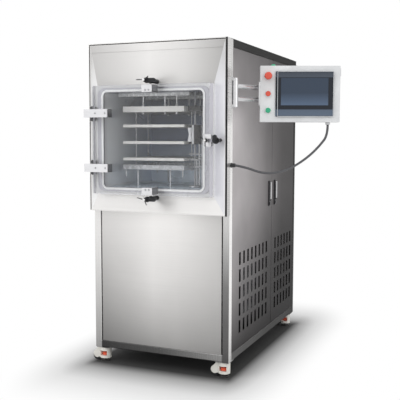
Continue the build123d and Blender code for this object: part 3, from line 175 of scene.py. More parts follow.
class StageLook(PropertyGroup):
    """Floor, lamps and camera."""

    floor: FloatVectorProperty(
        name="Floor", description="Pale studio floor", subtype="COLOR",
        default=(0.62, 0.62, 0.62), min=0, max=1,
    )
    key: FloatProperty(
        name="Key lamp", description="Power of the key lamp", unit="POWER",
        default=40.0, min=0,
    )
    fill: FloatProperty(
        name="Fill lamp", description="Power of the fill lamp", unit="POWER",
        default=18.0, min=0,
    )
    ambient: FloatProperty(
        name="Ambient", description="Strength of the room light",
        default=1.0, min=0, max=2,
    )
    lens: FloatProperty(
        name="Lens", description="Focal length", subtype="DISTANCE_CAMERA",
        default=65.4, min=10,
    )


# ------------------------------------------------------------------ node helpers
def plain(name):
    """A node material with its nodes, links and surface shader."""
    mat = bpy.data.materials.new(name)
    mat.use_nodes = True
    nodes, links = mat.node_tree.nodes, mat.node_tree.links
    return mat, nodes, links, nodes["Principled BSDF"]


def mapped(nodes, links, scale=(1, 1, 1)):
    """Object coordinates at a scale along each axis."""
    where = nodes.new("ShaderNodeTexCoord")
    mapping = nodes.new("ShaderNodeMapping")
    mapping.inputs["Scale"].default_value = scale
    links.new(where.outputs["Object"], mapping.inputs["Vector"])
    return mapping.outputs["Vector"]


def noise(nodes, links, vector, scale=5.0, detail=2.0, rough=0.5):
    """A noise texture's single value."""
    tex = nodes.new("ShaderNodeTexNoise")
    tex.inputs["Scale"].default_value = scale
    tex.inputs["Detail"].default_value = detail
    tex.inputs["Roughness"].default_value = rough
    links.new(vector, tex.inputs["Vector"])
    return tex.outputs["Fac"]


def ramp(nodes, links, value, stops):
    """Colour ramp with (position, colour) stops."""
    node = nodes.new("ShaderNodeValToRGB")
    band = node.color_ramp
    while len(band.elements) < len(stops):
        band.elements.new(0.5)
    for element, (position, colour) in zip(band.elements, stops):
        element.position = position
        element.color = (*colour, 1)
    links.new(value, node.inputs["Fac"])
    return node.outputs["Color"]


def spread(nodes, links, value, start=0.0, end=1.0, low=0.0, high=1.0):
    """A value carried from start and end to low and high, and held there beyond them."""
    node = nodes.new("ShaderNodeMapRange")
    node.inputs["From Min"].default_value = start
    node.inputs["From Max"].default_value = end
    node.inputs["To Min"].default_value = low
    node.inputs["To Max"].default_value = high
    links.new(value, node.inputs["Value"])
    return node.outputs["Result"]


def component(nodes, links, output, axis):
    """One axis of the object's coordinates or of its own normal."""
    where = nodes.new("ShaderNodeTexCoord")
    split = nodes.new("ShaderNodeSeparateXYZ")
    links.new(where.outputs[output], split.inputs["Vector"])
    return split.outputs[axis]


def along(nodes, links, axis, start, end):
    """0 to 1 from start to end along an axis of the object's frame."""
    return spread(nodes, links, component(nodes, links, "Object", axis), start, end)


def facing(nodes, links, axis, start, end):
    """0 to 1 as the object's own normal goes from start to end on an axis."""
    return spread(nodes, links, component(nodes, links, "Normal", axis), start, end)


def blend_colour(nodes, links, first, second, amount, kind="MIX"):
    """Two colours, given as values or as outputs, mixed by an amount."""
    node = nodes.new("ShaderNodeMix")
    node.data_type = "RGBA"
    node.blend_type = kind
    # a colour mix has its factor on socket 0, its colours on 6 and 7 and its result on 2
    for socket, value in ((node.inputs[6], first), (node.inputs[7], second), (node.inputs[0], amount)):
        if isinstance(value, (float, int)):
            socket.default_value = value
        elif isinstance(value, tuple):
            socket.default_value = (*value, 1)
        else:
            links.new(value, socket)
    return node.outputs[2]


def bump(nodes, links, bsdf, height, strength, distance=0.001):
    """Relief on the surface from a height value."""
    node = nodes.new("ShaderNodeBump")
    node.inputs["Strength"].default_value = strength
    node.inputs["Distance"].default_value = distance
    links.new(height, node.inputs["Height"])
    links.new(node.outputs["Normal"], bsdf.inputs["Normal"])


def roughen(nodes, links, bsdf, value, low, high):
    """Roughness that follows a value between two levels."""
    links.new(spread(nodes, links, value, low=low, high=high), bsdf.inputs["Roughness"])


def painted_light_field(nodes, links, across, up, columns):
    """A slow tone over two axes, painted light and shade: each column gives a place across and its tones
    from low to high.
    """
    axis, start, end = across
    height = along(nodes, links, *up)
    places = [start + (end - start) * place for place, tones in columns]
    strips = []
    for place, tones in columns:
        steps = [(i / (len(tones) - 1), tone) for i, tone in enumerate(tones)]
        strips.append(ramp(nodes, links, height, steps))
    colour = strips[0]
    for strip, begin, finish in zip(strips[1:], places, places[1:]):
        colour = blend_colour(nodes, links, colour, strip, along(nodes, links, axis, begin, finish))
    return colour


def facing_split(nodes, links, rest, beyond, axis="X", edge=0.5):
    """The first colour, and the second where the object's own normal passes the edge towards +axis."""
    return blend_colour(nodes, links, rest, beyond, facing(nodes, links, axis, edge - 0.1, edge + 0.1))


def blend_shaders(nodes, links, amount, first, second):
    """The surface goes from the first shader to the second by an amount."""
    both = nodes.new("ShaderNodeMixShader")
    links.new(amount, both.inputs["Fac"])
    links.new(first.outputs[0], both.inputs[1])
    links.new(second.outputs[0], both.inputs[2])
    links.new(both.outputs[0], nodes["Material Output"].inputs["Surface"])


def arithmetic(nodes, links, operation, first, second):
    """Two values through one step of arithmetic."""
    node = nodes.new("ShaderNodeMath")
    node.operation = operation
    links.new(first, node.inputs[0])
    links.new(second, node.inputs[1])
    return node.outputs[0]


def seen_rays(nodes, links):
    """1 where the camera, a reflection or clear glass looks, 0 for light that falls on surfaces."""
    rays = nodes.new("ShaderNodeLightPath")
    seen = arithmetic(nodes, links, "MAXIMUM", rays.outputs["Is Camera Ray"], rays.outputs["Is Glossy Ray"])
    return arithmetic(nodes, links, "MAXIMUM", seen, rays.outputs["Is Transmission Ray"])


def sheet_metal(name, tone_of, grain, metallic=0.9, roughness=0.3, blotch=0.12, brush=0.8, gloss=0.5):
    """Brushed metal over a given tone, into which most callers paint light and shade: fine brush lines, soft
    uneven patches and a little relief.
    """
    mat, nodes, links, bsdf = plain(name)
    tone = tone_of(nodes, links)
    lines = noise(nodes, links, mapped(nodes, links, grain), scale=1.0, detail=3.0, rough=0.6)
    patches = noise(nodes, links, mapped(nodes, links), scale=2.4, detail=3.0, rough=0.55)
    streaks = ramp(nodes, links, lines, [(0.3, (0.86, 0.86, 0.86)), (0.7, WHITE)])
    clouds = ramp(nodes, links, patches, [(0.3, (1 - blotch,) * 3), (0.7, WHITE)])
    colour = blend_colour(nodes, links, tone, streaks, brush, "MULTIPLY")
    colour = blend_colour(nodes, links, colour, clouds, 1.0, "MULTIPLY")
    links.new(colour, bsdf.inputs["Base Color"])
    bsdf.inputs["Metallic"].default_value = metallic
    bsdf.inputs["Specular IOR Level"].default_value = gloss
    roughen(nodes, links, bsdf, lines, low=roughness - 0.07, high=roughness + 0.1)
    bump(nodes, links, bsdf, lines, strength=0.08, distance=0.0004)
    return mat


def polished(name, colour, roughness=0.12, metallic=1.0, wear=0.12):
    """Machined or polished metal with faint smears and tiny marks."""
    mat, nodes, links, bsdf = plain(name)
    smears = noise(nodes, links, mapped(nodes, links), scale=22.0, detail=4.0, rough=0.6)
    marks = noise(nodes, links, mapped(nodes, links, (60, 60, 400)), scale=3.0, detail=2.0, rough=0.5)
    dull = tuple(c * (1 - wear) for c in colour)
    links.new(ramp(nodes, links, smears, [(0.35, dull), (0.65, colour)]), bsdf.inputs["Base Color"])
    bsdf.inputs["Metallic"].default_value = metallic
    roughen(nodes, links, bsdf, smears, low=roughness * 0.7, high=roughness * 1.6)
    bump(nodes, links, bsdf, marks, strength=0.06, distance=0.0003)
    return mat


def moulded(name, colour, roughness=0.45, grain=420.0, relief=0.15, gloss=0.5):
    """Moulded plastic, rubber or enamel with a fine skin."""
    mat, nodes, links, bsdf = plain(name)
    skin = noise(nodes, links, mapped(nodes, links), scale=grain, detail=2.0, rough=0.5)
    cloud = noise(nodes, links, mapped(nodes, links), scale=9.0, detail=3.0, rough=0.5)
    dark = tuple(c * 0.82 for c in colour)
    links.new(ramp(nodes, links, cloud, [(0.3, dark), (0.7, colour)]), bsdf.inputs["Base Color"])
    bsdf.inputs["Specular IOR Level"].default_value = gloss
    roughen(nodes, links, bsdf, skin, low=roughness - 0.06, high=roughness + 0.08)
    bump(nodes, links, bsdf, skin, strength=relief, distance=0.0003)
    return mat


def grey(value, tint=(1.0, 0.985, 0.97)):
    """A grey with a slight tint."""
    return tuple(value * t for t in tint)


def wear_on(mat, *names):
    """This material on CAD nodes."""
    for name in names:
        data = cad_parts[name].data
        data.materials.clear()
        data.materials.append(mat)


# ------------------------------------------------------------------ modelling helpers
def deselect():
    """Nothing selected, nothing being edited."""
    if bpy.context.object and bpy.context.object.mode != "OBJECT":
        bpy.ops.object.mode_set(mode="OBJECT")
    bpy.ops.object.select_all(action="DESELECT")


def choose(obj):
    """Only this object selected and active."""
    deselect()
    obj.select_set(True)
    bpy.context.view_layer.objects.active = obj


def fix_place(obj):
    """Object at the origin with its place in its mesh."""
    choose(obj)
    bpy.ops.object.transform_apply(location=True, rotation=True, scale=True)


def pick_faces(obj, test):
    """In edit mode, select the faces whose centre and normal pass the test."""
    bpy.ops.object.mode_set(mode="EDIT")
    bpy.ops.mesh.select_mode(type="FACE")
    bpy.ops.mesh.select_all(action="DESELECT")
    mesh = bmesh.from_edit_mesh(obj.data)
    for face in mesh.faces:
        face.select_set(bool(test(face.calc_center_median(), face.normal)))
    bmesh.update_edit_mesh(obj.data)


def leave_edit():
    """Back to object mode."""
    bpy.ops.object.mode_set(mode="OBJECT")


def soften(obj, width, segments=2, angle=35):
    """Bevelled edges and smooth shading by angle."""
    choose(obj)
    mod = obj.modifiers.new("edge", "BEVEL")
    mod.width = width
    mod.segments = segments
    mod.limit_method = "ANGLE"
    mod.angle_limit = math.radians(angle)
    bpy.ops.object.modifier_apply(modifier="edge")
    bpy.ops.object.shade_smooth_by_angle(angle=SMOOTH_ANGLE)


def aimed(place, direction, up="Y"):
    """Matrix that puts local Z along a direction."""
    turn = Vector(direction).to_track_quat("Z", up).to_matrix().to_4x4()
    return Matrix.Translation(place) @ turn


def put_copy(source, name, matrix):
    """A copy with its own mesh, placed and applied."""
    new = source.copy()
    new.data = source.data.copy()
    new.name = name
    bpy.context.scene.collection.objects.link(new)
    new.matrix_world = matrix
    fix_place(new)
    return new


def join(objects, name):
    """One object from several."""
    deselect()
    for obj in objects:
        obj.select_set(True)
    bpy.context.view_layer.objects.active = objects[0]
    if len(objects) > 1:
        bpy.ops.object.join()
    obj = bpy.context.view_layer.objects.active
    obj.name = name
    obj.data.name = name
    return obj


def remove(obj):
    """Deletes an object that was only a pattern for copies."""
    bpy.data.objects.remove(obj, do_unlink=True)


def cap_screw(diameter, height):
    """Socket cap screw head standing on the origin along Z."""
    deselect()
    bpy.ops.mesh.primitive_cylinder_add(
        vertices=24, radius=diameter / 2, depth=height, location=(0, 0, height / 2)
    )
    head = bpy.context.object
    bpy.ops.object.transform_apply(location=True)
    pick_faces(head, lambda c, n: n.z > 0.9)
    bpy.ops.mesh.inset(thickness=diameter * 0.24, depth=0)
    bpy.ops.mesh.extrude_region_move(TRANSFORM_OT_translate={"value": (0, 0, -height * 0.6)})
    leave_edit()
    soften(head, diameter * 0.05, 2, 50)
    return head


def finish_piece(obj, mat, body):
    """Material and body of a finished piece."""
    obj.data.materials.clear()
    obj.data.materials.append(mat)
    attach(obj, body)
    return obj


# ------------------------------------------------------------------ sheet metal
class FREEZE_DRYER_OT_cabinet(Operator):
    """Brushed and shaded sheet metal of the cabinet"""

    bl_idname = "freeze_dryer.cabinet"
    bl_label = "Finish cabinet"

    def execute(self, context):
        look = context.scene.cabinet_look
        sheet, tube, flank = tuple(look.sheet), tuple(look.tube), tuple(look.side)
        grain = look.grain
        wide, deep = ("X", LEFT, RIGHT), ("Y", FRONT, BACK)

        # copies of a colour at brighter and darker levels: the painted light and shade of the tones below
        def shade(colour, *levels):
            return [tuple(c * level for c in colour) for level in levels]

        # Painted light and shade on the front sheet: brighter in the middle, darker to the sides and at the
        # foot.
        def front_painted_light(nodes, links):
            return painted_light_field(nodes, links, wide, ("Z", 0.12, 0.84), (
                (0.06, shade(sheet, 0.24, 0.38, 0.54, 0.70, 0.86)),
                (0.45, shade(sheet, 0.42, 0.64, 0.88, 1.0, 1.08)),
                (0.62, shade(sheet, 0.45, 0.64, 0.84, 0.96, 1.02)),
                (0.94, shade(sheet, 0.36, 0.48, 0.62, 0.68, 0.70)),
            ))

        # Painted reflection and shade on the side sheets: light towards the front and upper middle, near
        # black at the foot and towards the back.
        def side_painted_light(nodes, links):
            top_down = ("Z", 0.12, TOP)
            return painted_light_field(nodes, links, deep, top_down, (
                (0.03, shade(flank, 0.10, 0.75, 1.20, 1.40, 0.40)),
                (0.20, shade(flank, 0.08, 0.48, 1.0, 1.05, 0.38)),
                (0.50, shade(flank, 0.08, 0.17, 0.50, 0.38, 0.32)),
                (0.75, shade(flank, 0.05, 0.08, 0.22, 0.20, 0.18)),
                (1.0, shade(flank, 0.04, 0.06, 0.16, 0.16, 0.14)),
            ))

        # Painted light and shade on the front frame: a light left post, a right post dark at the foot, dark
        # rails between them and light side faces.
        def post_painted_light(nodes, links):
            left_post = shade(tube, 0.42, 0.55, 0.76, 0.92, 1.0)
            right_post = shade(tube, 0.12, 0.15, 0.24, 0.52, 0.84)
            face = painted_light_field(nodes, links, wide, ("Z", 0.09, 0.86), (
                (0.0, left_post), (0.047, left_post),
                (0.052, shade(tube, 0.05, 0.05, 0.4, 0.4, 0.4)),
                (0.5, shade(tube, 0.12, 0.12, 0.4, 0.4, 0.4)),
                (0.947, shade(tube, 0.36, 0.36, 0.4, 0.4, 0.4)),
                (0.952, right_post), (1.0, right_post),
            ))
            flat = ramp(nodes, links, along(nodes, links, "Z", 0.09, TOP), [
                (0.0, shade(tube, 0.80)[0]), (0.25, shade(tube, 1.08)[0]), (0.45, shade(tube, 1.09)[0]),
                (0.7, shade(tube, 1.0)[0]), (1.0, shade(tube, 0.70)[0]),
            ])
            return facing_split(nodes, links, face, flat)

        # Painted shade: the rails are near black on their side faces and mid grey elsewhere.
        def rail_painted_shade(nodes, links):
            dark = painted_light_field(nodes, links, deep, ("Z", 0.1, TOP), (
                (0.0, shade(tube, 0.16, 0.10, 0.05)), (1.0, shade(tube, 0.07, 0.05, 0.03)),
            ))
            return facing_split(nodes, links, grey(0.40), dark)

        # Painted shade on the left and rear sheets: darker at the foot and a little at the top.
        def back_painted_shade(nodes, links):
            return ramp(nodes, links, along(nodes, links, "Z", 0.12, TOP), [
                (0.0, grey(0.34)), (0.5, grey(0.60)), (1.0, grey(0.48)),
            ])

        # Painted light and shade on the hood: a white left lip, a lighter middle, a painted shadow line at
        # the right end and along the front of the side face, and the side face lightest a little above its
        # middle.
        def hood_painted_light(nodes, links):
            front = ramp(nodes, links, along(nodes, links, "X", LEFT, RIGHT), [
                (0.0, grey(1.0)), (0.04, grey(0.82)), (0.5, grey(0.90)),
                (0.985, grey(0.74)), (0.99, PAINTED_SHADOW_BLACK),
            ])
            flank = ramp(nodes, links, along(nodes, links, "Z", hood_low.z, TOP), [
                (0.0, grey(0.56)), (0.25, grey(0.64)), (0.6, grey(0.96)), (1.0, grey(0.66)),
            ])
            edge = along(nodes, links, "Y", FRONT - 0.042, FRONT - 0.041)
            return facing_split(nodes, links, front, blend_colour(nodes, links, PAINTED_SHADOW_BLACK, flank, edge))

        # Painted shade and dark reflection: the roof darker towards the back and its side edge near black.
        def roof_painted_shade(nodes, links):
            top = ramp(nodes, links, along(nodes, links, *deep), [(0.0, grey(0.55)), (1.0, grey(0.40))])
            return facing_split(nodes, links, top, (0.03, 0.03, 0.032))

        front = sheet_metal(
            "front_sheet", front_painted_light, (3, 3, grain),
            metallic=0.75, roughness=look.roughness, blotch=0.08, brush=0.4,
        )
        post = sheet_metal(
            "frame_tube", post_painted_light, (grain, grain, 4),
            metallic=0.75, roughness=0.24, blotch=0.1,
        )
        side = sheet_metal(
            "side_sheet", side_painted_light, (3, grain * 0.4, grain),
            metallic=0.1, roughness=0.40, blotch=0.2, brush=0.6, gloss=0.02,
        )
        rail = sheet_metal(
            "side_tube", rail_painted_shade, (grain, 4, grain),
            metallic=0.0, roughness=0.45, blotch=0.15, brush=0.6, gloss=0.02,
        )
        hood = sheet_metal("hood_sheet", hood_painted_light, (4, 4, grain), metallic=0.75, roughness=0.26, blotch=0.1)
        roof = sheet_metal("roof_sheet", roof_painted_shade, (grain, 4, 4), metallic=0.8, roughness=0.35, blotch=0.15)
        back = sheet_metal(
            "back_sheet", back_painted_shade, (3, grain * 0.4, grain),
            metallic=0.5, roughness=0.36, blotch=0.15, brush=0.6, gloss=0.3,
        )
        wear_on(front, "front_panel")
        wear_on(post, "front_frame")
        wear_on(side, "service_door_front", "service_door_rear")
        wear_on(back, "left_panel", "rear_panel")
        wear_on(rail, "frame_rails", "rear_frame")
        wear_on(hood, "hood")
        wear_on(roof, "roof_panel")
        wear_on(moulded("base_black", (0.03, 0.03, 0.03), roughness=0.5), "base_pan")
        return {"FINISHED"}


class FREEZE_DRYER_OT_fascia(Operator):
    """Sloping faces round the chamber mouth, with painted light and shade"""

    bl_idname = "freeze_dryer.fascia"
    bl_label = "Finish fascia"

    def execute(self, context):
        # Painted light and shade on the fascia: brighter in the middle and darker to the sides along the
        # top, the left sloping face white and the right one grey, both greyer near the top, and a painted
        # shadow line at the right edge.
        def tone(nodes, links):
            wide = ("X", LEFT, RIGHT)
            top = ramp(nodes, links, along(nodes, links, *wide), [
                (0.0, grey(0.56)), (0.45, grey(0.88)), (0.7, grey(0.76)), (1.0, grey(0.44)),
            ])
            low = ramp(nodes, links, along(nodes, links, *wide), [(0.0, grey(0.84)), (1.0, grey(0.86))])
            face = blend_colour(nodes, links, low, top, along(nodes, links, "Z", DOOR_Z, DOOR_Z + 0.1))
            height = along(nodes, links, "Z", DOOR_Z + 0.25, DOOR_Z + 0.42)
            left_side = ramp(nodes, links, height, [(0.0, WHITE), (1.0, grey(0.70))])
            right_side = ramp(nodes, links, height, [(0.0, (0.82, 0.82, 0.85)), (1.0, (0.60, 0.60, 0.61))])
            left = facing_split(nodes, links, face, left_side, "X", 0.15)
            right = facing(nodes, links, "X", -0.12, -0.18)
            faces = blend_colour(nodes, links, left, right_side, right)
            outline = along(nodes, links, "X", RIGHT - 0.0095, RIGHT - 0.0085)
            return blend_colour(nodes, links, faces, PAINTED_SHADOW_BLACK, outline)

        fascia = sheet_metal(
            "fascia_sheet", tone, (2, 2, 700),
            metallic=0.4, roughness=0.30, blotch=0.03, brush=0.12, gloss=0.3,
        )
        wear_on(fascia, "fascia")
        return {"FINISHED"}


# ------------------------------------------------------------------ chamber and door
def clear_plate(name, tint, edge):
    """Clear acrylic with half-clear edges at its sides: the right-facing edge frosted, the left-facing edge
    painted dark as shade. Light passes it without a shadow.
    """
    mat, nodes, links, bsdf = plain(name)
    dust = noise(nodes, links, mapped(nodes, links), scale=30.0, detail=4.0, rough=0.6)
    clean = ramp(nodes, links, dust, [(0.35, tuple(c * 0.985 for c in tint)), (0.65, tint)])
    across = facing(nodes, links, "X", -1.0, 1.0)
    left_edge, face_from, face_to, right_edge = 0.10, 0.15, 0.85, 0.90
    # painted shade: the left-facing cut edge near black, the right-facing one in the frosted edge colour
    edges = ramp(nodes, links, across, [
        (left_edge, (0.10, 0.10, 0.11)), (face_from, WHITE), (face_to, WHITE), (right_edge, edge),
    ])
    clearness = ramp(nodes, links, across, [
        (left_edge, (0.1, 0.1, 0.1)), (face_from, WHITE), (face_to, WHITE), (right_edge, (0.2, 0.2, 0.2)),
    ])
    links.new(blend_colour(nodes, links, clean, edges, 1.0, "MULTIPLY"), bsdf.inputs["Base Color"])
    links.new(clearness, bsdf.inputs["Transmission Weight"])
    bsdf.inputs["IOR"].default_value = 1.49
    bsdf.inputs["Specular IOR Level"].default_value = 0.2
    roughen(nodes, links, bsdf, dust, low=0.0, high=0.02)
    rays = nodes.new("ShaderNodeLightPath")
    clear = nodes.new("ShaderNodeBsdfTransparent")
    clear.inputs["Color"].default_value = (*tint, 1)
    blend_shaders(nodes, links, rays.outputs["Is Shadow Ray"], bsdf, clear)
    return mat


class FREEZE_DRYER_OT_chamber(Operator):
    """Polished chamber, shelves, seal and clear door"""

    bl_idname = "freeze_dryer.chamber"
    bl_label = "Finish chamber"

    def execute(self, context):
        look = context.scene.chamber_look

        # Painted light and shade inside the chamber: the back wall bright blue-white at its foot and dark
        # above, the left wall near white at the front and blue-grey at the back, the right wall white.
        def wall_painted_light(nodes, links):
            back = ramp(nodes, links, along(nodes, links, "Z", DOOR_Z - 0.25, DOOR_Z + 0.25), [
                (0.0, (0.80, 0.90, 1.0)), (0.5, (0.16, 0.20, 0.30)), (1.0, (0.08, 0.10, 0.16)),
            ])
            left = ramp(nodes, links, along(nodes, links, "Y", FRONT, FRONT + 0.5), [
                (0.0, (0.97, 0.98, 1.0)), (0.5, (0.92, 0.96, 1.0)), (1.0, (0.55, 0.64, 0.80)),
            ])
            walls = facing_split(nodes, links, back, left)
            inside = facing_split(nodes, links, WHITE, walls, "X", -0.5)
            # the dark band in the lip is a painted shadow line round the rim
            rim, groove = tuple(look.rim), (0.10, 0.10, 0.11)
            lip = ramp(nodes, links, along(nodes, links, "Y", FRONT - 0.036, FRONT - 0.016), [
                (0.0, rim), (0.10, rim), (0.12, groove), (0.42, groove),
                (0.44, (0.80, 0.80, 0.81)), (1.0, (0.86, 0.86, 0.87)),
            ])
            depth = along(nodes, links, "Y", FRONT - 0.018, FRONT + 0.01)
            return blend_colour(nodes, links, lip, inside, depth)

        # Painted shade: the seal's faces that do not face forward are dark grey.
        def seal_painted_shade(nodes, links):
            return facing_split(nodes, links, tuple(look.seal), (0.20, 0.20, 0.22), "Y", -0.5)

        # Painted shade: the shelves darken towards the back of the chamber.
        def shelf_painted_shade(nodes, links):
            shelf = tuple(look.shelf)
            return ramp(nodes, links, along(nodes, links, "Y", FRONT, FRONT + 0.5), [
                (0.0, shelf), (1.0, tuple(c * 0.6 for c in shelf)),
            ])

        # Painted shade: the rack is darker below a height near its top.
        def rack_painted_shade(nodes, links):
            return ramp(nodes, links, along(nodes, links, "Z", DOOR_Z + 0.19, DOOR_Z + 0.22), [
                (0.0, (0.52, 0.53, 0.55)), (0.3, (0.88, 0.88, 0.88)), (1.0, (0.92, 0.92, 0.92)),
            ])

        def manifold_tone(nodes, links):
            height = along(nodes, links, "Z", DOOR_Z - 0.03, DOOR_Z + 0.19)
            pipe, black, white = (0.35, 0.35, 0.37), (0.03, 0.03, 0.032), (0.88, 0.88, 0.90)
            valve = ramp(nodes, links, height, [
                (0.03, pipe), (0.035, black), (0.495, black), (0.50, pipe),
                (0.82, pipe), (0.825, black), (0.955, black), (0.96, pipe),
            ])
            depth = along(nodes, links, "Y", FRONT + 0.09, FRONT + 0.31)
            ends = ramp(nodes, links, depth, [(0.0, white), (0.9, white), (0.95, (0.42, 0.42, 0.43))])
            inner = ramp(nodes, links, depth, [
                (0.056, BLACK), (0.058, WHITE), (0.36, WHITE), (0.365, BLACK),
            ])
            return blend_colour(nodes, links, ends, valve, inner)

        steel = sheet_metal(
            "chamber_steel", wall_painted_light, (2, 2, 2),
            metallic=0.4, roughness=0.24, blotch=0.1, brush=0.3, gloss=0.3,
        )
        wear_on(steel, "chamber")
        silicone = sheet_metal(
            "silicone", seal_painted_shade, (300, 300, 300),
            metallic=0.0, roughness=0.35, blotch=0.03, brush=0.1,
        )
        wear_on(silicone, "door_gasket")
        shelves = sheet_metal(
            "shelf_steel", shelf_painted_shade, (4, 500, 4),
            metallic=0.2, roughness=0.3, blotch=0.08,
        )
        wear_on(shelves, "shelf_plates")
        rack = sheet_metal("rack_steel", rack_painted_shade, (40, 40, 40), metallic=0.3, roughness=0.25, blotch=0.08)
        wear_on(rack, "shelf_rack")
        manifold = sheet_metal(
            "manifold", manifold_tone, (200, 200, 200),
            metallic=0.1, roughness=0.35, blotch=0.08, brush=0.4,
        )
        wear_on(manifold, "fluid_manifold")
        wear_on(clear_plate("clear_acrylic", tuple(look.acrylic), tuple(look.edge)), "chamber_door")
        return {"FINISHED"}


HEAD_SHARE = 0.5                # height of a cap screw's head to its diameter
HEAD_PROUD = 0.0005             # how far the heads stand out, with the rest sunk
HINGE_SCREW_X = (0.07, 0.1275)  # from the left end of the hinge blocks
HINGE_SCREW_IN = 0.021          # from their lower and upper ends
LUG_X = MIDDLE + 0.0055
LUG_SCREW_APART = 0.00925       # to each side of a lug's middle
LUG_SCREW_IN = 0.026            # from the lugs' outer ends


class FREEZE_DRYER_OT_door_fittings(Operator):
    """Hinge blocks, brackets, lugs, posts and their screws"""

    bl_idname = "freeze_dryer.door_fittings"
    bl_label = "Build door fittings"

    def execute(self, context):
        look = context.scene.fitting_look

        # Painted shade: the hinge blocks and lugs are dark on their right-facing end faces.
        def block_painted_shade(nodes, links):
            return facing_split(nodes, links, (0.86, 0.86, 0.88), (0.24, 0.24, 0.25))

        satin = sheet_metal(
            "satin_block_painted_shade", block_painted_shade, (20, 20, 300),
            metallic=0.6, roughness=0.22, blotch=0.08,
        )
        black = polished("blackened_steel", (0.03, 0.03, 0.033), roughness=0.35, metallic=0.6, wear=0.2)
        wear_on(satin, "door_hinge_arms", "door_lugs")
        bracket = polished("bracket_steel", (0.12, 0.12, 0.125), roughness=0.3, metallic=0.8, wear=0.2)
        wear_on(bracket, "hinge_brackets")
        wear_on(black, "clamp_posts", "clamp_finger_top", "clamp_finger_bottom", "clamp_finger_right")
        head_height = look.screw * HEAD_SHARE
        head = cap_screw(look.screw, head_height)
        arms_low, arms_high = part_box("door_hinge_arms")
        lugs_low, lugs_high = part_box("door_lugs")
        sunk = head_height - HEAD_PROUD
        spots = []
        for x in HINGE_SCREW_X:
            for z in (arms_low.z + HINGE_SCREW_IN, arms_high.z - HINGE_SCREW_IN):
                spots.append((arms_low.x + x, arms_low.y + sunk, z))
        for z in (lugs_high.z - LUG_SCREW_IN, lugs_low.z + LUG_SCREW_IN):
            for x in (LUG_X - LUG_SCREW_APART, LUG_X + LUG_SCREW_APART):
                spots.append((x, lugs_low.y + sunk, z))
        screws = [put_copy(head, "screw", aimed(spot, FACING_OUT)) for spot in spots]
        remove(head)
        finish_piece(join(screws, "door_screws"), black, "door")
        return {"FINISHED"}


NUT_ASIDE = 0.016               # upper and lower nut, to the right of the door's middle
NUT_BEYOND = 0.016              # the same two, outside the door's edge
NUT_WITHIN = 0.006              # right nut, inside the door's edge
NUT_FLANGE_R = 0.0099
NUT_FLANGE_T = 0.004
KNURL_RIM = 0.0002              # land left round each groove
KNURL_DEEP = 0.0006
# (radius, height) points, with height along the nut from its seat
NUT_BARREL = ((0.0068, 0.0035), (0.0070, 0.004), (0.0070, 0.0162), (0.0062, 0.017))
NUT_HUB = ((0.0060, 0.0165), (0.0066, 0.0172), (0.0066, 0.0205), (0.0050, 0.0219))
ROD_REACHES = (0.034, 0.024)    # length of the two turning rods of each nut
ROD_UP = 0.011                  # from the nut's seat to its rods
ROD_ROOT = 0.0055               # from the nut's middle to where a rod starts
ROD_LEAN = -0.12                # how far the rods lean forwards


def knurled_flange(knurls):
    """Knurled flange of a hand nut, along Z from the origin."""
    def in_groove(centre, normal):
        sector = round(math.atan2(centre.y, centre.x) / math.pi * knurls)
        return abs(normal.z) < 0.1 and sector % 2 == 0

    deselect()
    bpy.ops.mesh.primitive_cylinder_add(
        vertices=knurls * 2, radius=NUT_FLANGE_R, depth=NUT_FLANGE_T, location=(0, 0, NUT_FLANGE_T / 2)
    )
    body = bpy.context.object
    bpy.ops.object.transform_apply(location=True)
    pick_faces(body, in_groove)
    bpy.ops.mesh.inset(thickness=KNURL_RIM, depth=-KNURL_DEEP, use_individual=True)
    leave_edit()
    soften(body, 0.0003, 1, 50)
    return body


def turned(name, profile, place, direction, steps=32):
    """A turned piece from (radius, height) points, drawn up step by step along its axis."""
    deselect()
    radius, height = profile[0]
    bpy.ops.mesh.primitive_circle_add(
        vertices=steps, radius=radius, fill_type="NGON", location=(0, 0, height)
    )
    obj = bpy.context.object
    obj.name = name
    bpy.ops.object.transform_apply(location=True)
    bpy.ops.object.mode_set(mode="EDIT")
    bpy.ops.mesh.select_all(action="SELECT")
    for next_radius, next_height in profile[1:]:
        bpy.ops.mesh.extrude_region_move(TRANSFORM_OT_translate={"value": (0, 0, next_height - height)})
        scale = next_radius / radius
        bpy.ops.transform.resize(value=(scale, scale, 1), center_override=(0, 0, next_height))
        radius, height = next_radius, next_height
    bpy.ops.mesh.select_all(action="SELECT")
    bpy.ops.mesh.remove_doubles(threshold=0.00001)
    bpy.ops.mesh.normals_make_consistent(inside=False)
    leave_edit()
    obj.matrix_world = aimed(place, direction)
    fix_place(obj)
    bpy.ops.object.shade_smooth_by_angle(angle=SMOOTH_ANGLE)
    return obj


def soft_curve(name, points, resolution):
    """A smooth open line led by its points, with no thickness yet."""
    curve = bpy.data.curves.new(name, "CURVE")
    curve.dimensions = "3D"
    line = curve.splines.new("NURBS")
    line.points.add(len(points) - 1)
    for spot, point in zip(line.points, points):
        spot.co = (*point, 1)
    line.order_u = 3
    line.use_endpoint_u = True
    curve.resolution_u = resolution
    obj = bpy.data.objects.new(name, curve)
    bpy.context.scene.collection.objects.link(obj)
    return obj


def thicken(obj, diameter, rounding):
    """A closed round tube along a line, as a mesh."""
    obj.data.bevel_depth = diameter / 2
    obj.data.bevel_resolution = rounding
    obj.data.use_fill_caps = True
    choose(obj)
    bpy.ops.object.convert(target="MESH")
    bpy.ops.object.shade_smooth_by_angle(angle=SMOOTH_ANGLE)
    return bpy.context.object


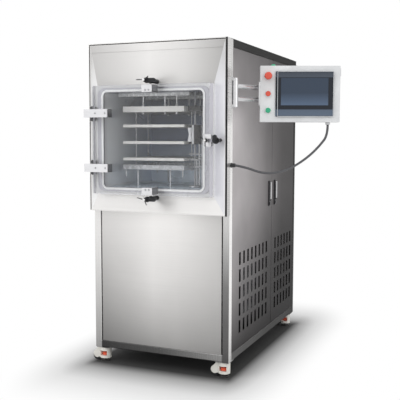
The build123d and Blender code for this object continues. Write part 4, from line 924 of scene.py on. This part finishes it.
class FREEZE_DRYER_OT_hand_nuts(Operator):
    """Hand nuts of the swing clamps with their turning rods"""

    bl_idname = "freeze_dryer.hand_nuts"
    bl_label = "Build hand nuts"

    def execute(self, context):
        look = context.scene.fitting_look
        black = moulded("nut_black", (0.03, 0.03, 0.033), roughness=0.35, grain=900.0, relief=0.1)
        bright = polished("nut_hub", (0.88, 0.88, 0.88), roughness=0.2, metallic=0.5)
        # centre across and up, and the turn of the long and the short rod in degrees
        nuts = {
            "top": (DOOR_X + NUT_ASIDE, door_high.z + NUT_BEYOND, (178, 33)),
            "bottom": (DOOR_X + NUT_ASIDE, door_low.z - NUT_BEYOND, (165, -63)),
            "right": (door_high.x - NUT_WITHIN, DOOR_Z, (144, -83)),
        }
        for which, (x, z, turns) in nuts.items():
            node = "clamp_nut_" + which
            centre = Vector((x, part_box(node)[1].y, z))
            flange = knurled_flange(look.knurls)
            flange.matrix_world = aimed(centre, FACING_OUT)
            fix_place(flange)
            pieces = [flange, turned("barrel", NUT_BARREL, centre, FACING_OUT)]
            for turn, reach in zip(turns, ROD_REACHES):
                angle = math.radians(turn)
                way = Vector((math.cos(angle), ROD_LEAN, math.sin(angle))).normalized()
                start = centre + FACING_OUT * ROD_UP + way * ROD_ROOT
                points = [start + way * reach * share for share in (0.0, 0.5, 0.8, 1.0)]
                pieces.append(thicken(soft_curve("rod", points, 6), look.nut_rod, 4))
            body = finish_piece(join(pieces, "nut_body_" + which), black, node)
            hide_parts(node)
            hub = turned("nut_hub_" + which, NUT_HUB, centre, FACING_OUT)
            finish_piece(hub, bright, node)
        return {"FINISHED"}


# ------------------------------------------------------------------ control box
BOX_TURN = math.radians(21.0)
BOX_ALONG = Vector((math.cos(BOX_TURN), math.sin(BOX_TURN), 0))
BOX_OUT = Vector((math.sin(BOX_TURN), -math.cos(BOX_TURN), 0))
TRIM_WIDE = 0.0022
TRIM_THICK = 0.0012
TRIM_SUNK = 0.0004              # the trim's back lies this deep in the bezel's face


def bezel_trim(low, high):
    """Thin bright frame round the front of the display bezel."""
    # the bezel stands turned, so its own width and thickness follow from its box
    cos, sin = BOX_ALONG.x, BOX_ALONG.y
    deep_x, deep_y = high.x - low.x, high.y - low.y
    wide = (deep_x * cos - deep_y * sin) / (cos * cos - sin * sin)
    thick = (deep_x - wide * cos) / sin
    deselect()
    bpy.ops.mesh.primitive_plane_add(size=1, location=(0, 0, 0))
    trim = bpy.context.object
    trim.name = "bezel_trim"
    trim.scale = (wide, high.z - low.z, 1)
    bpy.ops.object.transform_apply(scale=True)
    pick_faces(trim, lambda c, n: True)
    bpy.ops.mesh.inset(thickness=TRIM_WIDE, depth=0)
    bpy.ops.mesh.delete(type="FACE")
    leave_edit()
    mod = trim.modifiers.new("thickness", "SOLIDIFY")
    mod.thickness = TRIM_THICK
    mod.offset = 1.0
    bpy.ops.object.modifier_apply(modifier="thickness")
    trim.matrix_world = aimed((low + high) / 2 + BOX_OUT * (thick / 2 - TRIM_SUNK), BOX_OUT)
    fix_place(trim)
    return trim


def bezel_finish(name, bottom, top):
    """Black bezel with a blue-grey band along its foot and a paler one at its top."""
    mat, nodes, links, bsdf = plain(name)
    black = (0.016, 0.019, 0.026)
    tones = [
        (0.0, (0.05, 0.06, 0.075)), (0.03, (0.11, 0.145, 0.20)), (0.15, (0.10, 0.13, 0.18)), (0.165, black),
        (0.86, black), (0.875, (0.07, 0.085, 0.11)), (1.0, (0.06, 0.07, 0.09)),
    ]
    links.new(ramp(nodes, links, along(nodes, links, "Z", bottom, top), tones), bsdf.inputs["Base Color"])
    roughen(nodes, links, bsdf, noise(nodes, links, mapped(nodes, links), scale=500.0), low=0.22, high=0.34)
    bsdf.inputs["Specular IOR Level"].default_value = 0.25
    return mat


def display_glass(name, tone, bottom, top):
    """Dark glass, a little lighter towards its foot."""
    mat, nodes, links, bsdf = plain(name)
    lit = tuple(min(1, c * 2.4) for c in tone)
    fade = ramp(nodes, links, along(nodes, links, "Z", bottom, top), [(0.0, lit), (0.45, tone), (1.0, tone)])
    sheen = noise(nodes, links, mapped(nodes, links), scale=3.0, detail=2.0, rough=0.4)
    links.new(fade, bsdf.inputs["Base Color"])
    bsdf.inputs["Specular IOR Level"].default_value = 0.3
    roughen(nodes, links, bsdf, sheen, low=0.04, high=0.1)
    return mat


class FREEZE_DRYER_OT_control_box(Operator):
    """Control box, display, buttons, lamp and arm"""

    bl_idname = "freeze_dryer.control_box"
    bl_label = "Build control box"

    def execute(self, context):
        look = context.scene.control_look
        wear_on(moulded("box_coat", tuple(look.box), roughness=0.4, grain=700.0, relief=0.12), "panel_box")
        low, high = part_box("hmi_bezel")
        wear_on(bezel_finish("bezel", low.z, high.z), "hmi_bezel")
        trim = bezel_trim(low, high)
        silver = polished("trim_silver", (0.62, 0.63, 0.65), roughness=0.25)
        finish_piece(trim, silver, "control_arm")
        wear_on(polished("arm_steel", (0.72, 0.72, 0.73), roughness=0.2), "panel_arm", "arm_bracket")
        gland = moulded("gland_black", (0.03, 0.03, 0.033), roughness=0.35, grain=700.0, relief=0.1)
        wear_on(gland, "cable_gland")
        red = moulded("button_red", tuple(look.stop), roughness=0.25, grain=300.0, relief=0.03)
        green = moulded("button_green", tuple(look.start), roughness=0.25, grain=300.0, relief=0.03)
        wear_on(red, "button_stop", "button_emergency")
        wear_on(green, "button_start", "panel_lamp")
        low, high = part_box("hmi_screen")
        wear_on(display_glass("display_glass", tuple(look.glass), low.z, high.z), "hmi_screen")
        return {"FINISHED"}


# metres to the right of and behind the cabinet's front right edge, and height over the floor
CONDUIT_ROUTE = (
    (0.023, 0.012, 1.089), (0.080, 0.014, 1.080), (0.135, 0.078, 1.051), (0.193, 0.137, 1.048),
    (0.253, 0.181, 1.070), (0.303, 0.217, 1.104), (0.348, 0.250, 1.145), (0.385, 0.277, 1.190),
)
CONDUIT_HALF = 0.006            # half the diameter of the conduit's solid
CONDUIT_RISE = 0.055            # last straight run, up into the box entry


def conduit_points():
    """Route from the gland to the box entry, in the object's frame."""
    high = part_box("panel_cable")[1]
    points = [Vector((RIGHT + x, FRONT + y, z)) for x, y, z in CONDUIT_ROUTE]
    for z in (high.z - CONDUIT_RISE, high.z):
        points.append(Vector((high.x - CONDUIT_HALF, high.y - CONDUIT_HALF, z)))
    return points


def conduit_metal(name):
    """Ribbed grey metal hose."""
    mat, nodes, links, bsdf = plain(name)
    wave = nodes.new("ShaderNodeTexWave")
    wave.inputs["Scale"].default_value = 1.0
    links.new(mapped(nodes, links, (70.0, 50.0, 30.0)), wave.inputs["Vector"])
    rings = wave.outputs["Fac"]
    tones = [(0.2, (0.03, 0.03, 0.033)), (0.8, (0.15, 0.15, 0.16))]
    links.new(ramp(nodes, links, rings, tones), bsdf.inputs["Base Color"])
    bsdf.inputs["Metallic"].default_value = 0.3
    roughen(nodes, links, bsdf, rings, low=0.25, high=0.4)
    bump(nodes, links, bsdf, rings, strength=0.4, distance=0.0006)
    return mat


class FREEZE_DRYER_OT_conduit(Operator):
    """Grey conduit from the gland to the control box"""

    bl_idname = "freeze_dryer.conduit"
    bl_label = "Build conduit"

    def execute(self, context):
        look = context.scene.control_look
        points = conduit_points()
        obj = soft_curve("conduit", points, 16)
        context.view_layer.update()
        traced = bpy.data.meshes.new_from_object(obj)
        obj = thicken(obj, look.conduit, 5)
        obj.data.materials.clear()
        obj.data.materials.append(conduit_metal("conduit_metal"))
        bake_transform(obj)
        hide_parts("panel_cable")
        return {"FINISHED"}


# ------------------------------------------------------------------ locks, castors, machinery
class FREEZE_DRYER_OT_locks(Operator):
    """Swing-handle locks of the service doors"""

    bl_idname = "freeze_dryer.locks"
    bl_label = "Finish locks"

    def execute(self, context):
        black = moulded("lock_black", (0.028, 0.028, 0.032), roughness=0.35, grain=600.0, relief=0.1)
        wear_on(black, "lock_frame_front", "lock_frame_rear")
        chrome = polished("lever_chrome", (0.52, 0.52, 0.53), roughness=0.2)
        wear_on(chrome, "lock_lever_front", "lock_lever_rear")
        return {"FINISHED"}


class FREEZE_DRYER_OT_castors(Operator):
    """Levelling castors"""

    bl_idname = "freeze_dryer.castors"
    bl_label = "Finish castors"

    def execute(self, context):
        ivory = moulded("castor_ivory", (0.90, 0.88, 0.82), roughness=0.4, grain=300.0, relief=0.15)
        tread = moulded("castor_tread", (0.025, 0.025, 0.027), roughness=0.5, grain=500.0, relief=0.2)
        foot, nodes, links, bsdf = plain("foot")
        tones = [
            (0.0, (0.035, 0.033, 0.033)), (0.50, (0.05, 0.045, 0.045)),
            (0.52, (0.80, 0.10, 0.04)), (1.0, (0.85, 0.14, 0.06)),
        ]
        links.new(ramp(nodes, links, along(nodes, links, "Z", 0.0, 0.06), tones), bsdf.inputs["Base Color"])
        skin = noise(nodes, links, mapped(nodes, links), scale=300.0)
        roughen(nodes, links, bsdf, skin, low=0.4, high=0.55)
        for place in ("front_left", "front_right", "rear_left", "rear_right"):
            wear_on(ivory, "castor_body_" + place)
            wear_on(tread, "castor_wheel_" + place)
            wear_on(foot, "castor_foot_" + place)
        return {"FINISHED"}


class FREEZE_DRYER_OT_machinery(Operator):
    """Fan, condenser, compressor, pump and cold trap behind the vents"""

    bl_idname = "freeze_dryer.machinery"
    bl_label = "Finish machinery"

    def execute(self, context):
        enamel = moulded("machine_enamel", (0.03, 0.032, 0.036), roughness=0.4, grain=300.0, relief=0.15)
        wear_on(enamel, "compressor", "vacuum_pump", "fan_rotor")
        wear_on(polished("fin_metal", (0.30, 0.30, 0.31), roughness=0.35), "condenser")
        wear_on(polished("trap_metal", (0.55, 0.55, 0.55), roughness=0.3), "cold_trap")
        return {"FINISHED"}


# ------------------------------------------------------------------ stage
def lamp(name, place, target, size, power):
    """A square studio lamp aimed at a point."""
    data = bpy.data.lights.new(name, "AREA")
    data.shape = "SQUARE"
    data.size = size
    data.energy = power
    obj = bpy.data.objects.new(name, data)
    bpy.context.scene.collection.objects.link(obj)
    obj.location = place
    obj.rotation_euler = (Vector(target) - Vector(place)).to_track_quat("-Z", "Y").to_euler()


def vector_step(nodes, links, operation, vector, amount=(0, 0, 0)):
    """One step of vector arithmetic, as a node."""
    node = nodes.new("ShaderNodeVectorMath")
    node.operation = operation
    node.inputs[1].default_value = amount
    links.new(vector, node.inputs[0])
    return node


def floor_finish(name, colour):
    """Matt floor with a painted contact shadow round the footprint, and plain white further out."""
    mat, nodes, links, bsdf = plain(name)
    bsdf.inputs["Roughness"].default_value = 0.8
    bsdf.inputs["Specular IOR Level"].default_value = 0.1
    middle = (MIDDLE, (FRONT + BACK) / 2, 0)
    half = ((RIGHT - LEFT) / 2, (BACK - FRONT) / 2, 10)
    # distance outside the footprint, where depth counts half
    reach = nodes.new("ShaderNodeTexCoord").outputs["Object"]
    for operation, amount in (
        ("SUBTRACT", middle), ("ABSOLUTE", (0, 0, 0)), ("SUBTRACT", half),
        ("MAXIMUM", (0, 0, 0)), ("MULTIPLY", (1, 0.5, 1)),
    ):
        reach = vector_step(nodes, links, operation, reach, amount).outputs["Vector"]
    distance = vector_step(nodes, links, "LENGTH", reach).outputs["Value"]
    # painted contact shadow: the floor colour at a tenth at the footprint, full a little way out
    tones = [(0.0, tuple(c * 0.10 for c in colour)), (0.05, tuple(c * 0.62 for c in colour)), (0.14, colour)]
    links.new(ramp(nodes, links, distance, tones), bsdf.inputs["Base Color"])
    away = spread(nodes, links, distance, -0.01, 0.36)
    away.node.interpolation_type = "SMOOTHSTEP"
    white = nodes.new("ShaderNodeEmission")
    white.inputs["Color"].default_value = (1, 1, 1, 1)
    amount = arithmetic(nodes, links, "MULTIPLY", away, seen_rays(nodes, links))
    blend_shaders(nodes, links, amount, bsdf, white)
    return mat


def room(name, ambient):
    """White world that lights at the ambient strength and looks plain white."""
    world = bpy.data.worlds.new(name)
    world.use_nodes = True
    nodes, links = world.node_tree.nodes, world.node_tree.links
    back = nodes["Background"]
    back.inputs["Color"].default_value = (1, 1, 1, 1)
    links.new(spread(nodes, links, seen_rays(nodes, links), low=ambient, high=1.0), back.inputs["Strength"])
    return world


FLOOR_WIDE = 60.0
CAMERA_RIGHT = 1.650            # from the cabinet's middle
CAMERA_BEFORE = 3.379           # from its front
CAMERA_UP = 1.228
CAMERA_TURNS = (90 - 4.94, -0.14, 22.83)  # degrees: tilt, roll, turn


class FREEZE_DRYER_OT_stage(Operator):
    """Pale floor, soft lamps and the camera"""

    bl_idname = "freeze_dryer.stage"
    bl_label = "Build stage"

    def execute(self, context):
        look = context.scene.stage_look
        scene = context.scene
        deselect()
        bpy.ops.mesh.primitive_plane_add(size=FLOOR_WIDE, location=(0, 0, 0))
        floor = context.object
        floor.name = "studio_floor"
        floor.data.materials.append(floor_finish("studio_floor", tuple(look.floor)))
        scene.world = room("studio", look.ambient)
        lamp("key", (-2.6, -3.6, 3.8), (MIDDLE, FRONT + 0.3, 0.9), 2.6, look.key)
        lamp("fill", (3.6, -2.6, 2.2), (MIDDLE, FRONT + 0.5, 0.9), 2.4, look.fill)

        data = bpy.data.cameras.new("camera")
        data.sensor_width = 36.0
        data.lens = look.lens
        camera = bpy.data.objects.new("camera", data)
        scene.collection.objects.link(camera)
        camera.location = (MIDDLE + CAMERA_RIGHT, FRONT - CAMERA_BEFORE, CAMERA_UP)
        camera.rotation_euler = [math.radians(angle) for angle in CAMERA_TURNS]
        scene.camera = camera
        scene.view_settings.view_transform = "Standard"
        return {"FINISHED"}


# ------------------------------------------------------------------ panel
PIECES = (
    FREEZE_DRYER_OT_cabinet,
    FREEZE_DRYER_OT_fascia,
    FREEZE_DRYER_OT_chamber,
    FREEZE_DRYER_OT_door_fittings,
    FREEZE_DRYER_OT_hand_nuts,
    FREEZE_DRYER_OT_control_box,
    FREEZE_DRYER_OT_conduit,
    FREEZE_DRYER_OT_locks,
    FREEZE_DRYER_OT_castors,
    FREEZE_DRYER_OT_machinery,
    FREEZE_DRYER_OT_stage,
)
LOOKS = {
    "cabinet_look": CabinetLook,
    "chamber_look": ChamberLook,
    "control_look": ControlLook,
    "fitting_look": FittingLook,
    "stage_look": StageLook,
}


class VIEW3D_PT_freeze_dryer(Panel):
    """Sidebar panel of the freeze dryer"""

    bl_label = "Freeze Dryer"
    bl_idname = "VIEW3D_PT_freeze_dryer"
    bl_space_type = "VIEW_3D"
    bl_region_type = "UI"
    bl_category = "Freeze Dryer"

    def draw(self, context):
        for look in LOOKS:
            group = getattr(context.scene, look)
            box = self.layout.box()
            for prop in group.bl_rna.properties:
                if prop.identifier not in ("rna_type", "name"):
                    box.prop(group, prop.identifier)
        for piece in PIECES:
            self.layout.operator(piece.bl_idname)


def register():
    """Settings, operators and panel become known to Blender."""
    for look, group in LOOKS.items():
        bpy.utils.register_class(group)
        setattr(bpy.types.Scene, look, PointerProperty(type=group))
    for piece in PIECES:
        bpy.utils.register_class(piece)
    bpy.utils.register_class(VIEW3D_PT_freeze_dryer)


def unregister():
    """Takes back what register adds."""
    bpy.utils.unregister_class(VIEW3D_PT_freeze_dryer)
    for piece in reversed(PIECES):
        bpy.utils.unregister_class(piece)
    for look, group in LOOKS.items():
        delattr(bpy.types.Scene, look)
        bpy.utils.unregister_class(group)


def main():
    """Builds every piece in order."""
    register()
    for piece in PIECES:
        group, name = piece.bl_idname.split(".")
        getattr(getattr(bpy.ops, group), name)()


if __name__ == "__main__":
    main()
